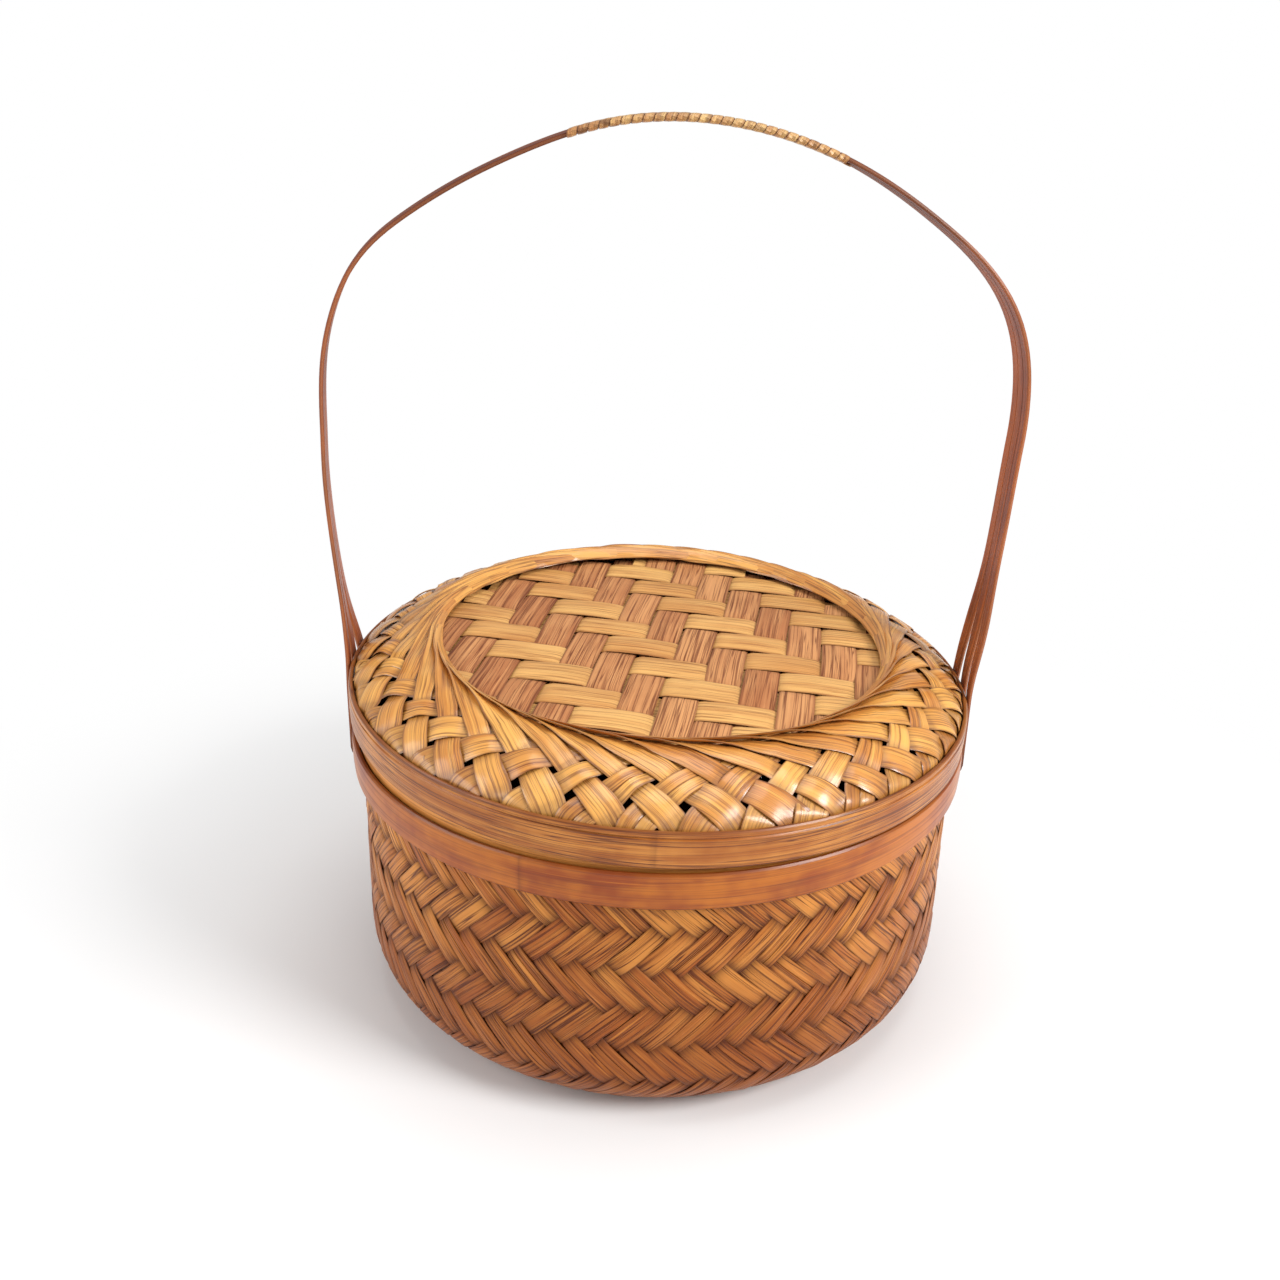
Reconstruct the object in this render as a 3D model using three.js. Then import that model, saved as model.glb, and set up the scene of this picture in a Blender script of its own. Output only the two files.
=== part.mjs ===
// Round bamboo basket with a lift-off lid and a fixed bail handle.
// Millimetres, +Z up. The origin is the centre of the base, on the surface the basket stands on.
// The handle comes down at +X and -X, and -Y is the front.
import * as THREE from 'three';

// Clearances
const fitGap = 0.3; // between pieces that lie against each other
const lidClearance = 0.8; // all round, between the lid's inner hoop and the collar
const handleStandoff = 0.5; // between the rim band and the handle strips, so that the lid can pass

// Basket body, woven of split bamboo
const rimRadius = 126; // outside of the rim band
const rimHeight = 114.2; // up to the top edge of the rim band
const weaveThickness = 2.8; // two layers of strip and their crossings
const cornerWidth = 27.3; // rounded bottom corner, measured inwards
const cornerHeight = 27.2; // rounded bottom corner, measured upwards
const waistInset = 1; // the rim band pulls the weave in this much just below it
const bellyBulge = 1.1; // the weave is this much wider just above the corner than at the waist
const flareHeight = 4; // height in which the waist opens out under the band
const wallDrop = 1.5; // the weave ends this far below the top of the band

// Rim: band outside, filler on the edge of the weave, collar inside
const bandThickness = 1.8;
const bandHeight = 14.2;
const fillerThickness = 2.2;
const fillerRise = 3.5; // above the band
const collarThickness = 1.8;
const collarRise = 10.8; // above the band

// Lid
const hoopThickness = 1.6;
const hoopHeight = 14.3;
const lidEdgeThickness = 1; // the weave where it turns down inside the hoop
const innerHoopThickness = 1.2;
const innerHoopRecess = 4.5; // the inner hoop and the weave end this far above the outer hoop
const innerHoopHeight = 8;
const lidTilt = 1.91; // degrees; the lid sits a little crooked
const lidLowSide = -30; // degrees round from +X to the side where the lid is lowest
const shoulderRise = 15; // highest part of the woven ring, above the hoop
const shoulderThickness = 2.2;
const shoulderSpan = 29.1; // from the lid's edge in to where the woven ring is highest
const shoulderFall = 1.45; // how gently the ring falls away from its crown; at 1 it is a cone
const shoulderTurn = 0.85; // how bluntly it comes down to the hoop; at 1 it keeps its slope
const ringWidth = 36.1; // from the lid's edge in to the opening round the centre panel
const openingDrop = 0.9; // the ring falls this much from its crown to the opening
const swirlStrips = 38; // strips that sweep round the ring
const swirlRelief = 0.9; // how far each strip stands over its neighbour
const swirlOpening = 4.6; // between neighbouring strips, in the open rows near the hoop
const swirlRows = 6; // from the hoop up to the crown of the ring; every second one is open

// Centre panel of the lid
const warpPitch = 14.5; // of the strips from front to back
const weftPitch = 16.2; // of the strips from side to side
const panelStripGap = 1.3; // between neighbours, where the crossing strips change sides
const panelStripThickness = 0.8;
const panelTuck = 5; // how far the strips reach under the ring
const panelTurn = -8.2; // degrees that the weave is turned round from front to back
const stripsPerFloat = 2; // strips passed over, then under
const panelTwillShift = 1; // strips that the weave steps along from row to row

// Bail handle, three split strips side by side
const handleStripWidth = 5;
const handleStripThickness = 1.6;
const handleHeight = 342; // up to the middle of the strips at the crown
const handleBulge = 5.7; // the handle is this much wider, each side, than where it passes the rim
const crownAngle = 41; // degrees each side of the top before the curve tightens
const handleShoulderRadius = 96.8; // the tighter curve
const legEndRadius = 150; // reverse curve that brings the legs upright
const legEndRise = 12.4; // above the band, where they are upright
const fanHeight = 222; // below this the strips spread apart
const fanSpacing = 16; // between the strips at the rim
const tuckDepth = 7; // the ends reach this far below the band
const tuckBend = 6; // height in which they bend in to the wall

// Cane binding round the top of the handle
const caneWidth = 3;
const caneThickness = 0.7;
const caneLoops = 24;
const canePitch = 4.15;
const caneOffset = 11; // along the handle from the crown to the middle of the binding
const caneStepsPerLoop = 12;

// Laps, where the two ends of a hoop lie one over the other, in degrees round from +X
const bandLap = 84;
const fillerLap = 265;
const collarLap = 120;
const hoopLap = 96;
const innerHoopLap = 250;
const lapAngle = 16; // degrees that a lap takes up
const lapTip = 0.45; // thickness of a pared end

// Smoothness
const roundSteps = 60;
const edgeChamfer = 0.4;

const turn = Math.PI * 2;
const upAxis = new THREE.Vector3(0, 0, 1);
const radians = THREE.MathUtils.degToRad;

// Sizes that follow from the ones above, from the rim inwards
const bandBottom = rimHeight - bandHeight;
const wallTop = rimHeight - wallDrop;
const wallRimRadius = rimRadius - bandThickness - fitGap;
const wallInnerRadius = wallRimRadius - weaveThickness;
const collarRadius = wallInnerRadius - fitGap;
const fillerRadius = (wallRimRadius + wallInnerRadius + fillerThickness) / 2;
const innerHoopRadius = collarRadius + lidClearance + innerHoopThickness;
const lidEdgeRadius = innerHoopRadius + fitGap + lidEdgeThickness;
const hoopRadius = lidEdgeRadius + fitGap + hoopThickness;
const waistRadius = wallRimRadius - waistInset;
const bellyRadius = waistRadius + bellyBulge;
const shoulderCrownRadius = lidEdgeRadius - shoulderSpan;
const openingRadius = lidEdgeRadius - ringWidth;
const panelRadius = openingRadius + panelTuck;
const handleRimRadius = Math.max(rimRadius, hoopRadius) + handleStandoff + handleStripThickness / 2;
const handleHalfWidth = handleRimRadius + handleBulge;

function bamboo(color, roughness) {
  return new THREE.MeshStandardMaterial({ color, roughness, metalness: 0 });
}

const materials = {
  weave: bamboo(0xb0763a, 0.6),
  band: bamboo(0xb5652b, 0.35),
  filler: bamboo(0xc9a05a, 0.6),
  collar: bamboo(0x6b3319, 0.45),
  hoop: bamboo(0xb98350, 0.5),
  shoulder: bamboo(0xc79347, 0.5),
  warp: bamboo(0xb37b52, 0.6),
  weft: bamboo(0xcf9c55, 0.5),
  handle: bamboo(0x6a2f1b, 0.35),
  cane: bamboo(0xcfb068, 0.5),
};

function addMesh(parent, name, geometry, material) {
  const mesh = new THREE.Mesh(geometry, material);
  mesh.name = name;
  parent.add(mesh);
  return mesh;
}

// Six times the volume that a list of triangles encloses, negative where its faces point inwards.
function enclosed(points, indices) {
  let sum = 0;
  for (let first = 0; first < indices.length; first += 3) {
    const [a, b, c] = [0, 1, 2].map((step) => points[indices[first + step]]);
    sum += a.dot(b.clone().cross(c));
  }
  return sum;
}

// Walls of an opening, from the edges of a cell of the outside to those of the cell behind it.
function openingWalls(front, back) {
  return front.flatMap((near, index) => {
    const next = (index + 1) % front.length;
    return [near, front[next], back[next], near, back[next], back[index]];
  });
}

// Skin over a row of like sections, closed by flat ends or, as a ring, by its own start. The first
// half of a section is the outside and the rest the inside, back again, so that an opening is a
// cell of the outside and the one behind it, left out.
function loft(sections, isRing = false, isOpen = () => false) {
  const sides = sections[0].length;
  const points = sections.flat();
  const corner = (section, side) => (section % sections.length) * sides + (side % sides);
  const indices = [];
  const lastSection = isRing ? sections.length : sections.length - 1;
  for (let section = 0; section < lastSection; section += 1) {
    const cell = (side, next) => [
      corner(section, side), corner(section, next),
      corner(section + 1, next), corner(section + 1, side),
    ];
    for (let side = 0; side < sides; side += 1) {
      const row = Math.min(side, sides - 2 - side);
      const [a, b, c, d] = cell(side, side + 1);
      if (!isOpen(section, row)) {
        indices.push(a, b, c, a, c, d);
      } else if (side === row) {
        indices.push(...openingWalls([a, b, c, d], cell(sides - 1 - side, sides - 2 - side)));
      }
    }
  }
  if (!isRing) {
    for (let side = 1; side < sides - 1; side += 1) {
      indices.push(corner(0, 0), corner(0, side + 1), corner(0, side));
      const end = sections.length - 1;
      indices.push(corner(end, 0), corner(end, side), corner(end, side + 1));
    }
  }
  if (enclosed(points, indices) < 0) {
    indices.reverse();
  }
  const geometry = new THREE.BufferGeometry().setFromPoints(points);
  geometry.setIndex(indices);
  geometry.computeVertexNormals();
  return geometry;
}

function polar(radius, angle, z) {
  return new THREE.Vector3(radius * Math.cos(angle), radius * Math.sin(angle), z);
}

function smooth(value) {
  const t = THREE.MathUtils.clamp(value, 0, 1);
  return t * t * (3 - 2 * t);
}

// Section of a hoop at one angle, with its outside edges eased.
function hoopSection(angle, inner, outer, bottom, top) {
  const ease = Math.min(edgeChamfer, (outer - inner) / 3);
  return [
    polar(inner, angle, bottom),
    polar(outer - ease, angle, bottom),
    polar(outer, angle, bottom + ease),
    polar(outer, angle, top - ease),
    polar(outer - ease, angle, top),
    polar(inner, angle, top),
  ];
}

// A strip bent into a hoop. Its two ends are pared thin and lie one over the other, so the hoop
// keeps one thickness all the way round.
function lappedHoop(outer, thickness, bottom, height, lapAt) {
  const inner = outer - thickness;
  const start = radians(lapAt);
  const lap = radians(lapAngle);
  const endGap = (2 * fitGap) / outer;
  const top = bottom + height;
  const underLap = (share) => inner + lapTip + (thickness - 2 * lapTip - fitGap) * share;
  const lapSteps = 3;
  const fullFrom = start + lap + endGap;
  const fullTo = start + turn - 2 * endGap;
  const fullSteps = Math.round((roundSteps * (fullTo - fullFrom)) / turn);
  const sections = [];
  for (let step = 0; step <= lapSteps; step += 1) {
    const share = step / lapSteps;
    sections.push(hoopSection(start + lap * share, inner, underLap(share), bottom, top));
  }
  for (let step = 0; step <= fullSteps; step += 1) {
    const angle = fullFrom + ((fullTo - fullFrom) * step) / fullSteps;
    sections.push(hoopSection(angle, inner, outer, bottom, top));
  }
  for (let step = 0; step <= lapSteps; step += 1) {
    const share = step / lapSteps;
    const angle = start + turn - endGap + (lap + endGap) * share;
    sections.push(hoopSection(angle, underLap(share) + fitGap, outer, bottom, top));
  }
  return loft(sections);
}

// Quarter of an ellipse, from straight below its centre (share 0) to straight beside it (share 1).
function cornerPoint(share, centre, width, height) {
  const angle = (share * Math.PI) / 2;
  return new THREE.Vector2(centre.x + width * Math.sin(angle), centre.y - height * Math.cos(angle));
}

// Outside radius of the woven wall above the corner.
function wallRadius(z) {
  const belly = smooth((z - cornerHeight) / (bandBottom - cornerHeight));
  const flare = smooth((z - bandBottom) / flareHeight);
  return bellyRadius + (waistRadius - bellyRadius) * belly + (wallRimRadius - waistRadius) * flare;
}

// Outline of the body: up the outside from the centre of the base, and down the inside again.
function bodyProfile() {
  const cornerSteps = 5;
  const sideSteps = 3;
  const cornerCentre = new THREE.Vector2(bellyRadius - cornerWidth, cornerHeight);
  const outside = [];
  const inside = [new THREE.Vector2(0, weaveThickness)];
  for (let step = 0; step <= cornerSteps; step += 1) {
    const share = step / cornerSteps;
    outside.push(cornerPoint(share, cornerCentre, cornerWidth, cornerHeight));
    inside.push(cornerPoint(
      share, cornerCentre, cornerWidth - weaveThickness, cornerHeight - weaveThickness));
  }
  for (let step = 1; step <= sideSteps; step += 1) {
    const z = cornerHeight + ((bandBottom - cornerHeight) * step) / sideSteps;
    outside.push(new THREE.Vector2(wallRadius(z), z));
    inside.push(new THREE.Vector2(wallRadius(z) - weaveThickness, z));
  }
  [bandBottom + flareHeight, wallTop].forEach((z) => {
    outside.push(new THREE.Vector2(wallRadius(z), z));
    inside.push(new THREE.Vector2(wallInnerRadius, z));
  });
  return [new THREE.Vector2(0, 0), ...outside, ...inside.reverse()];
}

function wovenBody() {
  return new THREE.LatheGeometry(bodyProfile(), roundSteps).rotateX(Math.PI / 2);
}

// Outline of the lid's woven ring: straight up inside the hoop, over a low arch and a little down to
// the opening. Heights are above the top edge of the hoop, and `lift` is the way
// that the upper strips stand out.
function shoulderOutline() {
  const edgeBottom = innerHoopRecess - hoopHeight;
  const outerSpan = lidEdgeRadius - shoulderCrownRadius;
  const innerSpan = outerSpan - lidEdgeThickness;
  const innerRise = shoulderRise - shoulderThickness;
  const openingTop = shoulderRise - openingDrop;
  const outside = [{ r: lidEdgeRadius, z: edgeBottom, lift: new THREE.Vector2(0, 0) }];
  const inside = [{ r: lidEdgeRadius - lidEdgeThickness, z: edgeBottom }];
  for (let step = 0; step <= swirlRows; step += 1) {
    const across = Math.cos(((step / swirlRows) * Math.PI) / 2);
    const up = (1 - across ** shoulderFall) ** shoulderTurn;
    const standOut = swirlRelief * smooth(2 * up);
    outside.push({
      r: shoulderCrownRadius + outerSpan * across,
      z: shoulderRise * up,
      lift: new THREE.Vector2(across, up).setLength(standOut),
    });
    inside.push({ r: shoulderCrownRadius + innerSpan * across, z: innerRise * up });
  }
  outside.push({ r: openingRadius, z: openingTop, lift: new THREE.Vector2(0, swirlRelief) });
  inside.push({ r: openingRadius, z: openingTop - shoulderThickness });
  return { outside, inside: inside.reverse() };
}

// Angle through which a strip has swept at one point of the ring. In plan it runs straight, as a
// tangent to a circle just inside the opening.
function sweep(point) {
  const tangentRadius = openingRadius - panelStripGap;
  return Math.acos(Math.min(1, tangentRadius / point.r));
}

// Woven ring of the lid. Each strip of the swirl lies over the edge of the one before it, so it
// stands highest at its near edge and slopes down across its width. Near the hoop the strips part,
// and the ring is open between them where no strip crosses underneath.
function lidShoulder() {
  const { outside, inside } = shoulderOutline();
  const stepAngle = turn / swirlStrips;
  const edgeAngle = fitGap / openingRadius;
  const openAngle = swirlOpening / lidEdgeRadius;
  const sections = [];
  for (let strip = 0; strip < swirlStrips; strip += 1) {
    const start = strip * stepAngle;
    const acrossStrip = [[0, 0], [edgeAngle, 1], [stepAngle - openAngle, openAngle / stepAngle]];
    acrossStrip.forEach(([turned, raised]) => {
      const angle = start + turned;
      const upper = outside.map((point) => polar(
        point.r + raised * point.lift.x, angle + sweep(point), point.z + raised * point.lift.y));
      const under = inside.map((point) => polar(point.r, angle + sweep(point), point.z));
      sections.push([...upper, ...under]);
    });
  }
  const sectionsPerStrip = sections.length / swirlStrips;
  const isOpen = (section, row) => (section + 1) % sectionsPerStrip === 0
    && row > 1 && row < swirlRows && row % 2 === 0;
  return loft(sections, true, isOpen);
}

// Strips of the centre panel that run one way: as many as have their middle over the opening or
// over the nearer half of the tuck.
function panelLayer(pitch) {
  const count = Math.floor((2 * panelRadius - panelTuck) / pitch) + 1;
  return { count, pitch };
}

const warps = panelLayer(warpPitch);
const wefts = panelLayer(weftPitch);

// Whether a strip that runs front to back lies over one that runs across, where they cross.
function warpIsOver(warpIndex, weftIndex) {
  const period = 2 * stripsPerFloat;
  return (weftIndex + panelTwillShift * warpIndex) % period < stripsPerFloat;
}

// One strip of the centre panel at its own place, over and under the strips that cross it. It
// changes sides in the gaps between them, and its ends stop in a circle under the ring.
function panelStrip(index, isWarp) {
  const [own, crossed] = isWarp ? [warps, wefts] : [wefts, warps];
  const side = (index - (own.count - 1) / 2) * own.pitch;
  const reach = Math.sqrt(panelRadius ** 2 - side ** 2);
  const rise = (panelStripThickness + fitGap) / 2;
  const levelAt = (crossing) => {
    const isOver = isWarp ? warpIsOver(index, crossing) : !warpIsOver(crossing, index);
    return isOver ? rise : -rise;
  };
  const stations = [];
  for (let crossing = 0; crossing < crossed.count - 1; crossing += 1) {
    const gapMiddle = (crossing + 1 - crossed.count / 2) * crossed.pitch;
    if (Math.abs(gapMiddle) + panelStripGap / 2 < reach) {
      const level = levelAt(crossing);
      const nextLevel = levelAt(crossing + 1);
      if (stations.length === 0) {
        stations.push([-reach, level]);
      }
      if (level !== nextLevel) {
        stations.push([gapMiddle - panelStripGap / 2, level]);
        stations.push([gapMiddle + panelStripGap / 2, nextLevel]);
      }
    }
  }
  stations.push([reach, stations[stations.length - 1][1]]);
  const halfWidth = (own.pitch - panelStripGap) / 2;
  const halfThickness = panelStripThickness / 2;
  const outline = [[-1, -1], [1, -1], [1, 1], [-1, 1]];
  return loft(stations.map(([along, level]) => outline.map(([sideways, upwards]) => {
    const across = side + sideways * halfWidth;
    const z = level + upwards * halfThickness;
    return isWarp ? new THREE.Vector3(across, along, z) : new THREE.Vector3(along, across, z);
  })));
}

function centrePanel() {
  const panel = new THREE.Group();
  const numbered = (index) => String(index + 1).padStart(2, '0');
  for (let index = 0; index < warps.count; index += 1) {
    addMesh(panel, `lid_warp_${numbered(index)}`, panelStrip(index, true), materials.warp);
  }
  for (let index = 0; index < wefts.count; index += 1) {
    addMesh(panel, `lid_weft_${numbered(index)}`, panelStrip(index, false), materials.weft);
  }
  const ringUnderside = shoulderRise - openingDrop - shoulderThickness;
  const halfPanel = panelStripThickness + fitGap / 2;
  panel.position.z = ringUnderside - fitGap - halfPanel;
  panel.rotation.z = radians(panelTurn);
  return panel;
}

function lid() {
  const group = new THREE.Group();
  const innerBottom = innerHoopRecess - hoopHeight;
  addMesh(group, 'lid_hoop', lappedHoop(hoopRadius, hoopThickness, -hoopHeight, hoopHeight, hoopLap),
    materials.hoop);
  addMesh(group, 'lid_inner_hoop',
    lappedHoop(innerHoopRadius, innerHoopThickness, innerBottom, innerHoopHeight, innerHoopLap),
    materials.filler);
  addMesh(group, 'lid_shoulder', lidShoulder(), materials.shoulder);
  group.add(centrePanel());
  return group;
}

// The lid rests with its hoop on the rim band at the low side, tilted about its own middle.
function seatedLid() {
  const tilt = radians(lidTilt);
  const lowSide = radians(lidLowSide);
  const tiltAxis = polar(1, lowSide + Math.PI / 2, 0);
  const holder = new THREE.Group();
  const model = lid();
  model.position.z = hoopHeight / 2;
  holder.add(model);
  holder.quaternion.setFromAxisAngle(tiltAxis, tilt);
  const lowEdge = hoopRadius * Math.sin(tilt) + (hoopHeight / 2) * Math.cos(tilt);
  holder.position.z = rimHeight + fitGap + lowEdge;
  return holder;
}

// Points on an arc in the plane of the handle. Angles are from straight up, towards +X.
function arcPoints(centre, radius, from, to, steps) {
  const points = [];
  for (let step = 1; step <= steps; step += 1) {
    const angle = from + ((to - from) * step) / steps;
    points.push(new THREE.Vector2(
      centre.x + radius * Math.sin(angle), centre.y + radius * Math.cos(angle)));
  }
  return points;
}

// Middle line of the right half of the handle, from the crown down to the tucked end: a crown arc,
// a tighter shoulder arc, a long leg arc, a reverse arc, the rim, and the bend in to the wall.
function handleHalf() {
  const crownTurn = radians(crownAngle);
  const shoulderSide = handleHalfWidth - handleShoulderRadius;
  const crownRadius = handleShoulderRadius + shoulderSide / Math.sin(crownTurn);
  const crownCentre = new THREE.Vector2(0, handleHeight - crownRadius);
  const shoulderCentre = new THREE.Vector2(
    shoulderSide,
    crownCentre.y + (crownRadius - handleShoulderRadius) * Math.cos(crownTurn));
  const legDrop = shoulderCentre.y - rimHeight - legEndRise;
  const legTurn = 2 * Math.atan(handleBulge / legDrop);
  const legRadius = legDrop / Math.sin(legTurn) - legEndRadius;
  const legCentre = new THREE.Vector2(handleHalfWidth - legRadius, shoulderCentre.y);
  const reverseCentre = new THREE.Vector2(
    handleRimRadius + legEndRadius, shoulderCentre.y - legDrop);
  const square = Math.PI / 2;
  const endRadius = wallRadius(bandBottom - tuckDepth) + fitGap + handleStripThickness / 2;
  return [
    new THREE.Vector2(0, handleHeight),
    ...arcPoints(crownCentre, crownRadius, 0, crownTurn, 10),
    ...arcPoints(shoulderCentre, handleShoulderRadius, crownTurn, square, 7),
    ...arcPoints(legCentre, legRadius, square, square + legTurn, 5),
    ...arcPoints(reverseCentre, legEndRadius, legTurn - square, -square, 2),
    new THREE.Vector2(handleRimRadius, bandBottom),
    new THREE.Vector2(endRadius, bandBottom - tuckBend),
    new THREE.Vector2(endRadius, bandBottom - tuckDepth - handleStripThickness),
  ];
}

function handleLine() {
  const right = handleHalf();
  const left = right.slice(1).reverse().map((point) => new THREE.Vector2(-point.x, point.y));
  return [...left, ...right];
}

// Distance from the middle strip to the outer ones, at one height.
function stripSpacing(z) {
  const together = handleStripWidth + fitGap;
  return together + (fanSpacing - together) * smooth((fanHeight - z) / (fanHeight - rimHeight));
}

// Direction of the outside face at one point of the middle line.
function outwardAt(line, index) {
  const before = line[Math.max(index - 1, 0)];
  const after = line[Math.min(index + 1, line.length - 1)];
  const along = after.clone().sub(before).normalize();
  return new THREE.Vector2(-along.y, along.x);
}

// One strip of the handle. `place` is -1 for the front strip, 0 for the middle and 1 for the rear.
// Near the rim the strips lie round the band, so each is turned with it.
function handleStrip(place) {
  const halfWidth = handleStripWidth / 2;
  const halfThickness = handleStripThickness / 2;
  const flatShare = 0.8;
  const outline = [
    [-flatShare, -1], [-1, 0], [-flatShare, 1], [flatShare, 1], [1, 0], [flatShare, -1],
  ];
  const line = handleLine();
  return loft(line.map((point, index) => {
    const aside = place * stripSpacing(point.y);
    const roundness = point.x / handleRimRadius;
    const yaw = (aside / handleRimRadius) * roundness;
    const outward = outwardAt(line, index);
    const out = new THREE.Vector3(outward.x, 0, outward.y).applyAxisAngle(upAxis, yaw);
    const across = new THREE.Vector3(0, 1, 0).applyAxisAngle(upAxis, yaw);
    const inset = (aside ** 2 / (2 * handleRimRadius)) * roundness;
    const middle = new THREE.Vector3(point.x - inset, aside, point.y);
    return outline.map(([sideways, outwards]) => middle.clone()
      .addScaledVector(across, sideways * halfWidth)
      .addScaledVector(out, outwards * halfThickness));
  }));
}

// Place on the handle's middle line at a distance from the crown, with the way out from it.
function handleAt(distance) {
  const line = handleLine();
  const crownIndex = (line.length - 1) / 2;
  const step = Math.sign(distance) || 1;
  let index = crownIndex;
  let left = Math.abs(distance);
  let length = line[index].distanceTo(line[index + step]);
  while (left > length) {
    left -= length;
    index += step;
    length = line[index].distanceTo(line[index + step]);
  }
  const share = left / length;
  const middle = line[index].clone().lerp(line[index + step], share);
  const outward = outwardAt(line, index).lerp(outwardAt(line, index + step), share).normalize();
  return { middle, outward };
}

// Place on a loop of cane round the three strips, as a flat oval that starts in the middle of the
// underside. Gives how far across the handle and out from it, and which way the cane faces.
function caneLoopPlace(step) {
  const half = caneStepsPerLoop / 2;
  const onFlat = step % half === 0;
  const side = Math.floor(step / half) % 2 === 0 ? 1 : -1;
  const angle = onFlat ? -Math.PI / 2 : (((step % half) - 1) / (half - 2) - 0.5) * Math.PI;
  const bundleWidth = 3 * handleStripWidth + 2 * fitGap;
  const endRadius = handleStripThickness / 2 + fitGap + caneThickness / 2;
  const flat = bundleWidth / 2 + fitGap + caneThickness / 2 - endRadius;
  const facing = new THREE.Vector2(Math.cos(angle), Math.sin(angle)).multiplyScalar(side);
  const place = facing.clone().multiplyScalar(endRadius);
  place.x += onFlat ? 0 : side * flat;
  return { place, facing };
}

// Middle line of the binding: a helix of flat loops, with its ends straight for one width.
function caneStations() {
  const steps = caneLoops * caneStepsPerLoop;
  const stations = [];
  for (let step = 0; step <= steps; step += 1) {
    const distance = caneOffset + (step / caneStepsPerLoop - caneLoops / 2) * canePitch;
    const { middle, outward } = handleAt(distance);
    const { place, facing } = caneLoopPlace(step);
    const out = new THREE.Vector3(outward.x, 0, outward.y);
    const point = new THREE.Vector3(middle.x, place.x, middle.y).addScaledVector(out, place.y);
    const face = new THREE.Vector3(0, facing.x, 0).addScaledVector(out, facing.y);
    stations.push({ point, face });
  }
  const extend = (end, next) => ({
    point: end.point.clone()
      .addScaledVector(end.point.clone().sub(next.point).normalize(), caneWidth),
    face: end.face,
  });
  const last = stations.length - 1;
  stations.unshift(extend(stations[0], stations[1]));
  stations.push(extend(stations[last + 1], stations[last]));
  return stations;
}

function caneSections() {
  const stations = caneStations();
  const flatShare = 0.8;
  const outline = [
    [-flatShare, -1], [-1, 0], [-flatShare, 1], [flatShare, 1], [1, 0], [flatShare, -1],
  ];
  return stations.map(({ point, face }, index) => {
    const before = stations[Math.max(index - 1, 0)].point;
    const after = stations[Math.min(index + 1, stations.length - 1)].point;
    const along = after.clone().sub(before).normalize();
    const across = along.clone().cross(face).normalize();
    return outline.map(([sideways, outwards]) => point.clone()
      .addScaledVector(across, (sideways * caneWidth) / 2)
      .addScaledVector(face, (outwards * caneThickness) / 2));
  });
}

// Least distance between the points of one loop and those of the loops next to it.
function leastLoopGap(sections) {
  let least = Infinity;
  sections.forEach((section, index) => {
    const nearby = sections.slice(index + caneStepsPerLoop / 2, index + 2 * caneStepsPerLoop);
    nearby.flat().forEach((point) => section.forEach((corner) => {
      least = Math.min(least, corner.distanceTo(point));
    }));
  });
  return least;
}

function handleBinding() {
  const sections = caneSections();
  console.log(`least gap between loops of the binding: ${leastLoopGap(sections).toFixed(2)} mm`);
  return loft(sections);
}

function basket() {
  const group = new THREE.Group();
  addMesh(group, 'woven_body', wovenBody(), materials.weave);
  addMesh(group, 'rim_band', lappedHoop(rimRadius, bandThickness, bandBottom, bandHeight, bandLap),
    materials.band);
  const fillerBottom = wallTop + fitGap;
  const fillerHeight = rimHeight + fillerRise - fillerBottom;
  addMesh(group, 'rim_filler',
    lappedHoop(fillerRadius, fillerThickness, fillerBottom, fillerHeight, fillerLap),
    materials.filler);
  const collarBottom = bandBottom + flareHeight + fitGap;
  const collarHeight = rimHeight + collarRise - collarBottom;
  addMesh(group, 'inner_collar',
    lappedHoop(collarRadius, collarThickness, collarBottom, collarHeight, collarLap),
    materials.collar);
  ['front', 'middle', 'rear'].forEach((name, index) => {
    addMesh(group, `handle_strip_${name}`, handleStrip(index - 1), materials.handle);
  });
  addMesh(group, 'handle_binding', handleBinding(), materials.cane);
  return group;
}

const model = new THREE.Group();
model.add(basket());
model.add(seatedLid());

export default model;
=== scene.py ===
"""Lidded bamboo basket with a bail handle, woven of its own strips and bent of its own hoops."""

import math
import random
from collections import namedtuple

import bmesh
import bpy
import numpy as np
from bpy.props import FloatProperty, FloatVectorProperty, IntProperty, PointerProperty
from mathutils import Matrix, Vector, noise


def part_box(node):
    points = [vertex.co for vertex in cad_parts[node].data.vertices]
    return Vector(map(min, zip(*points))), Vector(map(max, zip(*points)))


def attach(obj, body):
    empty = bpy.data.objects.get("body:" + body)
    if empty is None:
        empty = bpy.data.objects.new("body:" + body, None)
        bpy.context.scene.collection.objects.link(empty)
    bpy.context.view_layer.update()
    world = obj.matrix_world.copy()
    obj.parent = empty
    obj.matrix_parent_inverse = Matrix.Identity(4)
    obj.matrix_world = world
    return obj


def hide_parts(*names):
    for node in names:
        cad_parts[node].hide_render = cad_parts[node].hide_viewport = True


bl_info = {
    "name": "Lidded Bamboo Basket",
    "version": (1, 0, 0),
    "blender": (4, 5, 0),
    "location": "3D View > Sidebar > Basket",
    "description": "Weaves a round basket of split bamboo, with its lid and bail handle",
    "category": "Object",
}

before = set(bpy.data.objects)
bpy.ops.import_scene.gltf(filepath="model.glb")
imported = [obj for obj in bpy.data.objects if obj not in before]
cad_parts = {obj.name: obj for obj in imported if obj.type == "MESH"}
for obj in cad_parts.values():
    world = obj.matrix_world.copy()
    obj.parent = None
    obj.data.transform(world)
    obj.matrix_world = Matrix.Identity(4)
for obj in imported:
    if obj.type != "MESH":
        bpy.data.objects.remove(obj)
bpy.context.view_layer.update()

MM = 0.001
UP = Vector((0, 0, 1))
CREASE = 0.6  # angle between faces past which an edge stays sharp
EASE = 0.3  # share of a crossing, each side of halfway, in which a strip changes sides

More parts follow.
